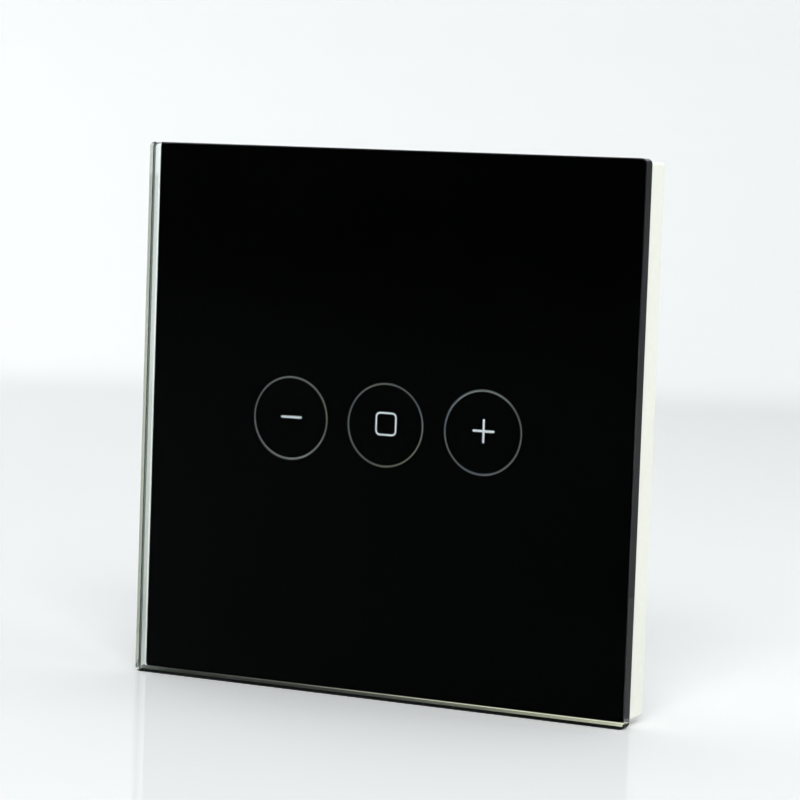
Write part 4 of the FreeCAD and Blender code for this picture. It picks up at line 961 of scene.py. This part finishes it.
def make_board_tracks():
    """Copper tracks under the green lacquer, with a bare tinned pad round a hole at each end."""
    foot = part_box("touch_board")[1].y
    mesh = bmesh.new()
    for width, points in TRACKS:
        strip(mesh, [(x * MM, z * MM) for x, z in points], width * MM, foot, COPPER)
    for x, z in [end for _, points in TRACKS for end in (points[0], points[-1])]:
        outer, inner = [circle(x * MM, z * MM, radius, PAD_STEPS)
                        for radius in (PAD_RADIUS, HOLE_RADIUS)]
        add_finished(mesh, 1, hollow_prism, outer, inner, foot, foot + COPPER * 1.5)
    piece = new_piece("board_tracks", mesh, "circuit_board", "front_panel",
                      (MATERIALS["tin_plate"],))
    piece.data.materials[0] = MASKED_COPPER


def make_spring_joints():
    """A solder dome behind each touch spring, where its foot comes through the board."""
    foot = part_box("touch_board")[1].y
    low, high, spacing = key_layout()
    middle = (low + high) / 2
    profile = [(DOME_COLLAR, foot), (DOME_COLLAR, foot + COPPER)]
    for step in range(DOME_STEPS + 1):
        turn = math.pi / 2 * step / DOME_STEPS
        profile.append((DOME_TIP + DOME_RADIUS * math.cos(turn) ** DOME_HOLLOW,
                        foot + DOME_HEIGHT * math.sin(turn)))
    mesh = bmesh.new()
    for key in (-1, 0, 1):
        lathe(mesh, middle.x + key * spacing, middle.z, profile, [0] * (len(profile) - 1),
              DOME_SIDES)
    smooth_faces(mesh)
    new_piece("spring_joints", mesh, "tin_plate", "front_panel")


def make_radio_trim():
    """The radio board's folded aerial track and the half-round joints along its sides."""
    low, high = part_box("radio_board")
    can_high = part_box("radio_shield")[1]
    left, right = low.x + AERIAL_SIDE_GAP, high.x - AERIAL_SIDE_GAP
    bottom, top = can_high.z + AERIAL_CAN_GAP, high.z - AERIAL_TOP_GAP
    points = [(left, bottom - AERIAL_TAIL), (left, top)]
    for fold in range(1, AERIAL_FOLDS + 1):
        x = left + (right - left) * fold / AERIAL_FOLDS
        points += [(x, top), (x, bottom)] if fold % 2 else [(x, bottom), (x, top)]
    mesh = bmesh.new()
    strip(mesh, points, AERIAL_WIDTH, high.y, COPPER)
    turns = [math.pi / 2 - math.pi * step / JOINT_STEPS for step in range(JOINT_STEPS + 1)]
    for side, x in ((-1, low.x), (1, high.x)):
        for number in range(JOINTS):
            z = low.z + JOINT_START + number * JOINT_SPACING
            outer = x + side * JOINT_DEPTH
            outline = [(outer, z - JOINT_SHOULDER), (outer, z + JOINT_SHOULDER)]
            for turn in turns:
                inward = JOINT_DEPTH + JOINT_SHOULDER * math.cos(turn)
                outline.append((x - side * inward, z + JOINT_DEPTH * math.sin(turn)))
            prism(mesh, outline, low.y + JOINT_SINK, high.y + COPPER)
    new_piece("radio_trim", mesh, "gilt_pins", "front_panel")


# Studio


def stage_object(name, mesh, material):
    """Links a mesh that belongs to the studio."""
    data = bpy.data.meshes.new(name)
    mesh.to_mesh(data)
    mesh.free()
    data.materials.append(material)
    stage = bpy.data.objects.new(name, data)
    bpy.context.scene.collection.objects.link(stage)
    return stage


def make_floor():
    """A pale sweep: a floor that curves up into a backdrop behind the object."""
    floor_level = cad_box[0][2]
    back = view_axes()[2]
    away = -Vector((back.x, back.y, 0)).normalized()
    side = Vector((-away.y, away.x, 0))
    profile = [(SWEEP_FRONT, 0), (0, 0), (COVE_START, 0)]
    for step in range(1, COVE_STEPS + 1):
        turn = math.pi / 2 * step / COVE_STEPS
        profile.append((COVE_START + COVE_RADIUS * math.sin(turn),
                        COVE_RADIUS * (1 - math.cos(turn))))
    profile.append((COVE_START + COVE_RADIUS, BACKDROP_TOP))
    mesh = bmesh.new()
    rows = []
    for reach, height in profile:
        middle = away * reach + Vector((0, 0, floor_level + height))
        rows.append((mesh.verts.new(middle - side * SWEEP_HALF_WIDTH),
                     mesh.verts.new(middle + side * SWEEP_HALF_WIDTH)))
    for near, far in zip(rows, rows[1:]):
        mesh.faces.new((near[0], near[1], far[1], far[0]))
    smooth_faces(mesh)
    stage_object("studio_sweep", mesh, sweep_material(away))


def sweep_material(away):
    """White card with a slight gloss, a little greyer on the floor than on the backdrop."""
    material, shader = new_material("studio_card")
    place = coordinates(material)
    tree = material.node_tree
    reach = tree.nodes.new("ShaderNodeVectorMath")
    reach.operation = "DOT_PRODUCT"
    reach.inputs[1].default_value = away
    tree.links.new(place, reach.inputs[0])
    step = map_range(material, reach.outputs["Value"], TONE_CHANGE)
    step.interpolation_type = "SMOOTHSTEP"
    colour = mixed(material, step.outputs["Result"], FLOOR_TONE, BACKDROP_TONE)
    tree.links.new(colour, shader.inputs["Base Color"])
    fine = noise(material, place, 4 * MM)
    tree.links.new(spread(material, fine, 0.5, 0.6), shader.inputs["Roughness"])
    shader.inputs["Specular IOR Level"].default_value = 0.0
    shader.inputs["Coat Weight"].default_value = 0.28
    shader.inputs["Coat Roughness"].default_value = 0.03
    return material


def reflected_card(name, left, right, height, tones):
    """An upright card on the floor that only reflections see."""
    mesh = bmesh.new()
    corners = ((left, CARD_LIFT), (right, CARD_LIFT), (right, height), (left, height))
    mesh.faces.new([mesh.verts.new(foot + Vector((0, 0, level))) for foot, level in corners])
    card = stage_object(name, mesh, surface(name, *tones, (0.8, 0.9), 20 * MM,
                                            Specular_IOR_Level=0.0))
    card.visible_camera = False
    card.visible_diffuse = False
    card.visible_shadow = False
    card.visible_transmission = False


def make_cards():
    """Two grey cards that darken the glass's right edge. One stands behind and to the right. Low
    rays pass in front of it to the floor, so a small vane beside the glass stops those. It lies in
    line with the camera, and so the floor's gloss doesn't show it there."""
    glass_low, glass_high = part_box("glass_panel")
    toward = Vector((math.sin(CARD_TURN), math.cos(CARD_TURN), 0))
    half = Vector((-toward.y, toward.x, 0)) * CARD_HALF_WIDTH
    foot = Vector((glass_high.x, glass_high.y, glass_low.z)) + toward * CARD_REACH
    reflected_card("dark_card", foot - half, foot + half, CARD_HEIGHT, CARD_TONES)
    start = Vector((glass_high.x + VANE_OFFSET, glass_low.y, glass_low.z))
    view = start - bpy.context.scene.camera.location
    along = Vector((view.x, view.y, 0)).normalized()
    reflected_card("dark_vane", start, start + along * VANE_LENGTH, VANE_HEIGHT, VANE_TONES)


def make_light():
    """Even soft light from all round, with large lights at both sides, above and in front."""
    world = bpy.data.worlds.new("studio")
    bpy.context.scene.world = world
    world.use_nodes = True
    background = world.node_tree.nodes["Background"]
    background.inputs["Color"].default_value = WORLD_COLOUR
    background.inputs["Strength"].default_value = WORLD_STRENGTH
    for name, place, aim, size, power, mirrored in LIGHTS:
        data = bpy.data.lights.new(name, "AREA")
        data.shape = "RECTANGLE"
        data.size, data.size_y = size
        data.energy = power
        light = bpy.data.objects.new(name, data)
        bpy.context.scene.collection.objects.link(light)
        light.visible_glossy = mirrored
        light.location = place
        direction = Vector(aim) - Vector(place)
        light.rotation_euler = direction.to_track_quat("-Z", "Y").to_euler()
    bpy.context.scene.view_settings.view_transform = "Standard"


make_camera()
dress_nodes()
make_glass()
make_key_rings()
make_key_icons()
make_capacitor("bulk_can", "bulk_capacitor")
make_capacitor("output_can", "output_capacitor")
wind("choke_wire", "choke_winding", round_path("choke_winding", CHOKE_WIRE), CHOKE_WIRE)
wind("transformer_wire", "transformer_winding",
     boxed_path("transformer_winding", TRANSFORMER_WIRE, TRANSFORMER_CORNER), TRANSFORMER_WIRE)
make_board_chips()
make_board_tracks()
make_spring_joints()
make_radio_trim()
make_floor()
make_cards()
make_light()
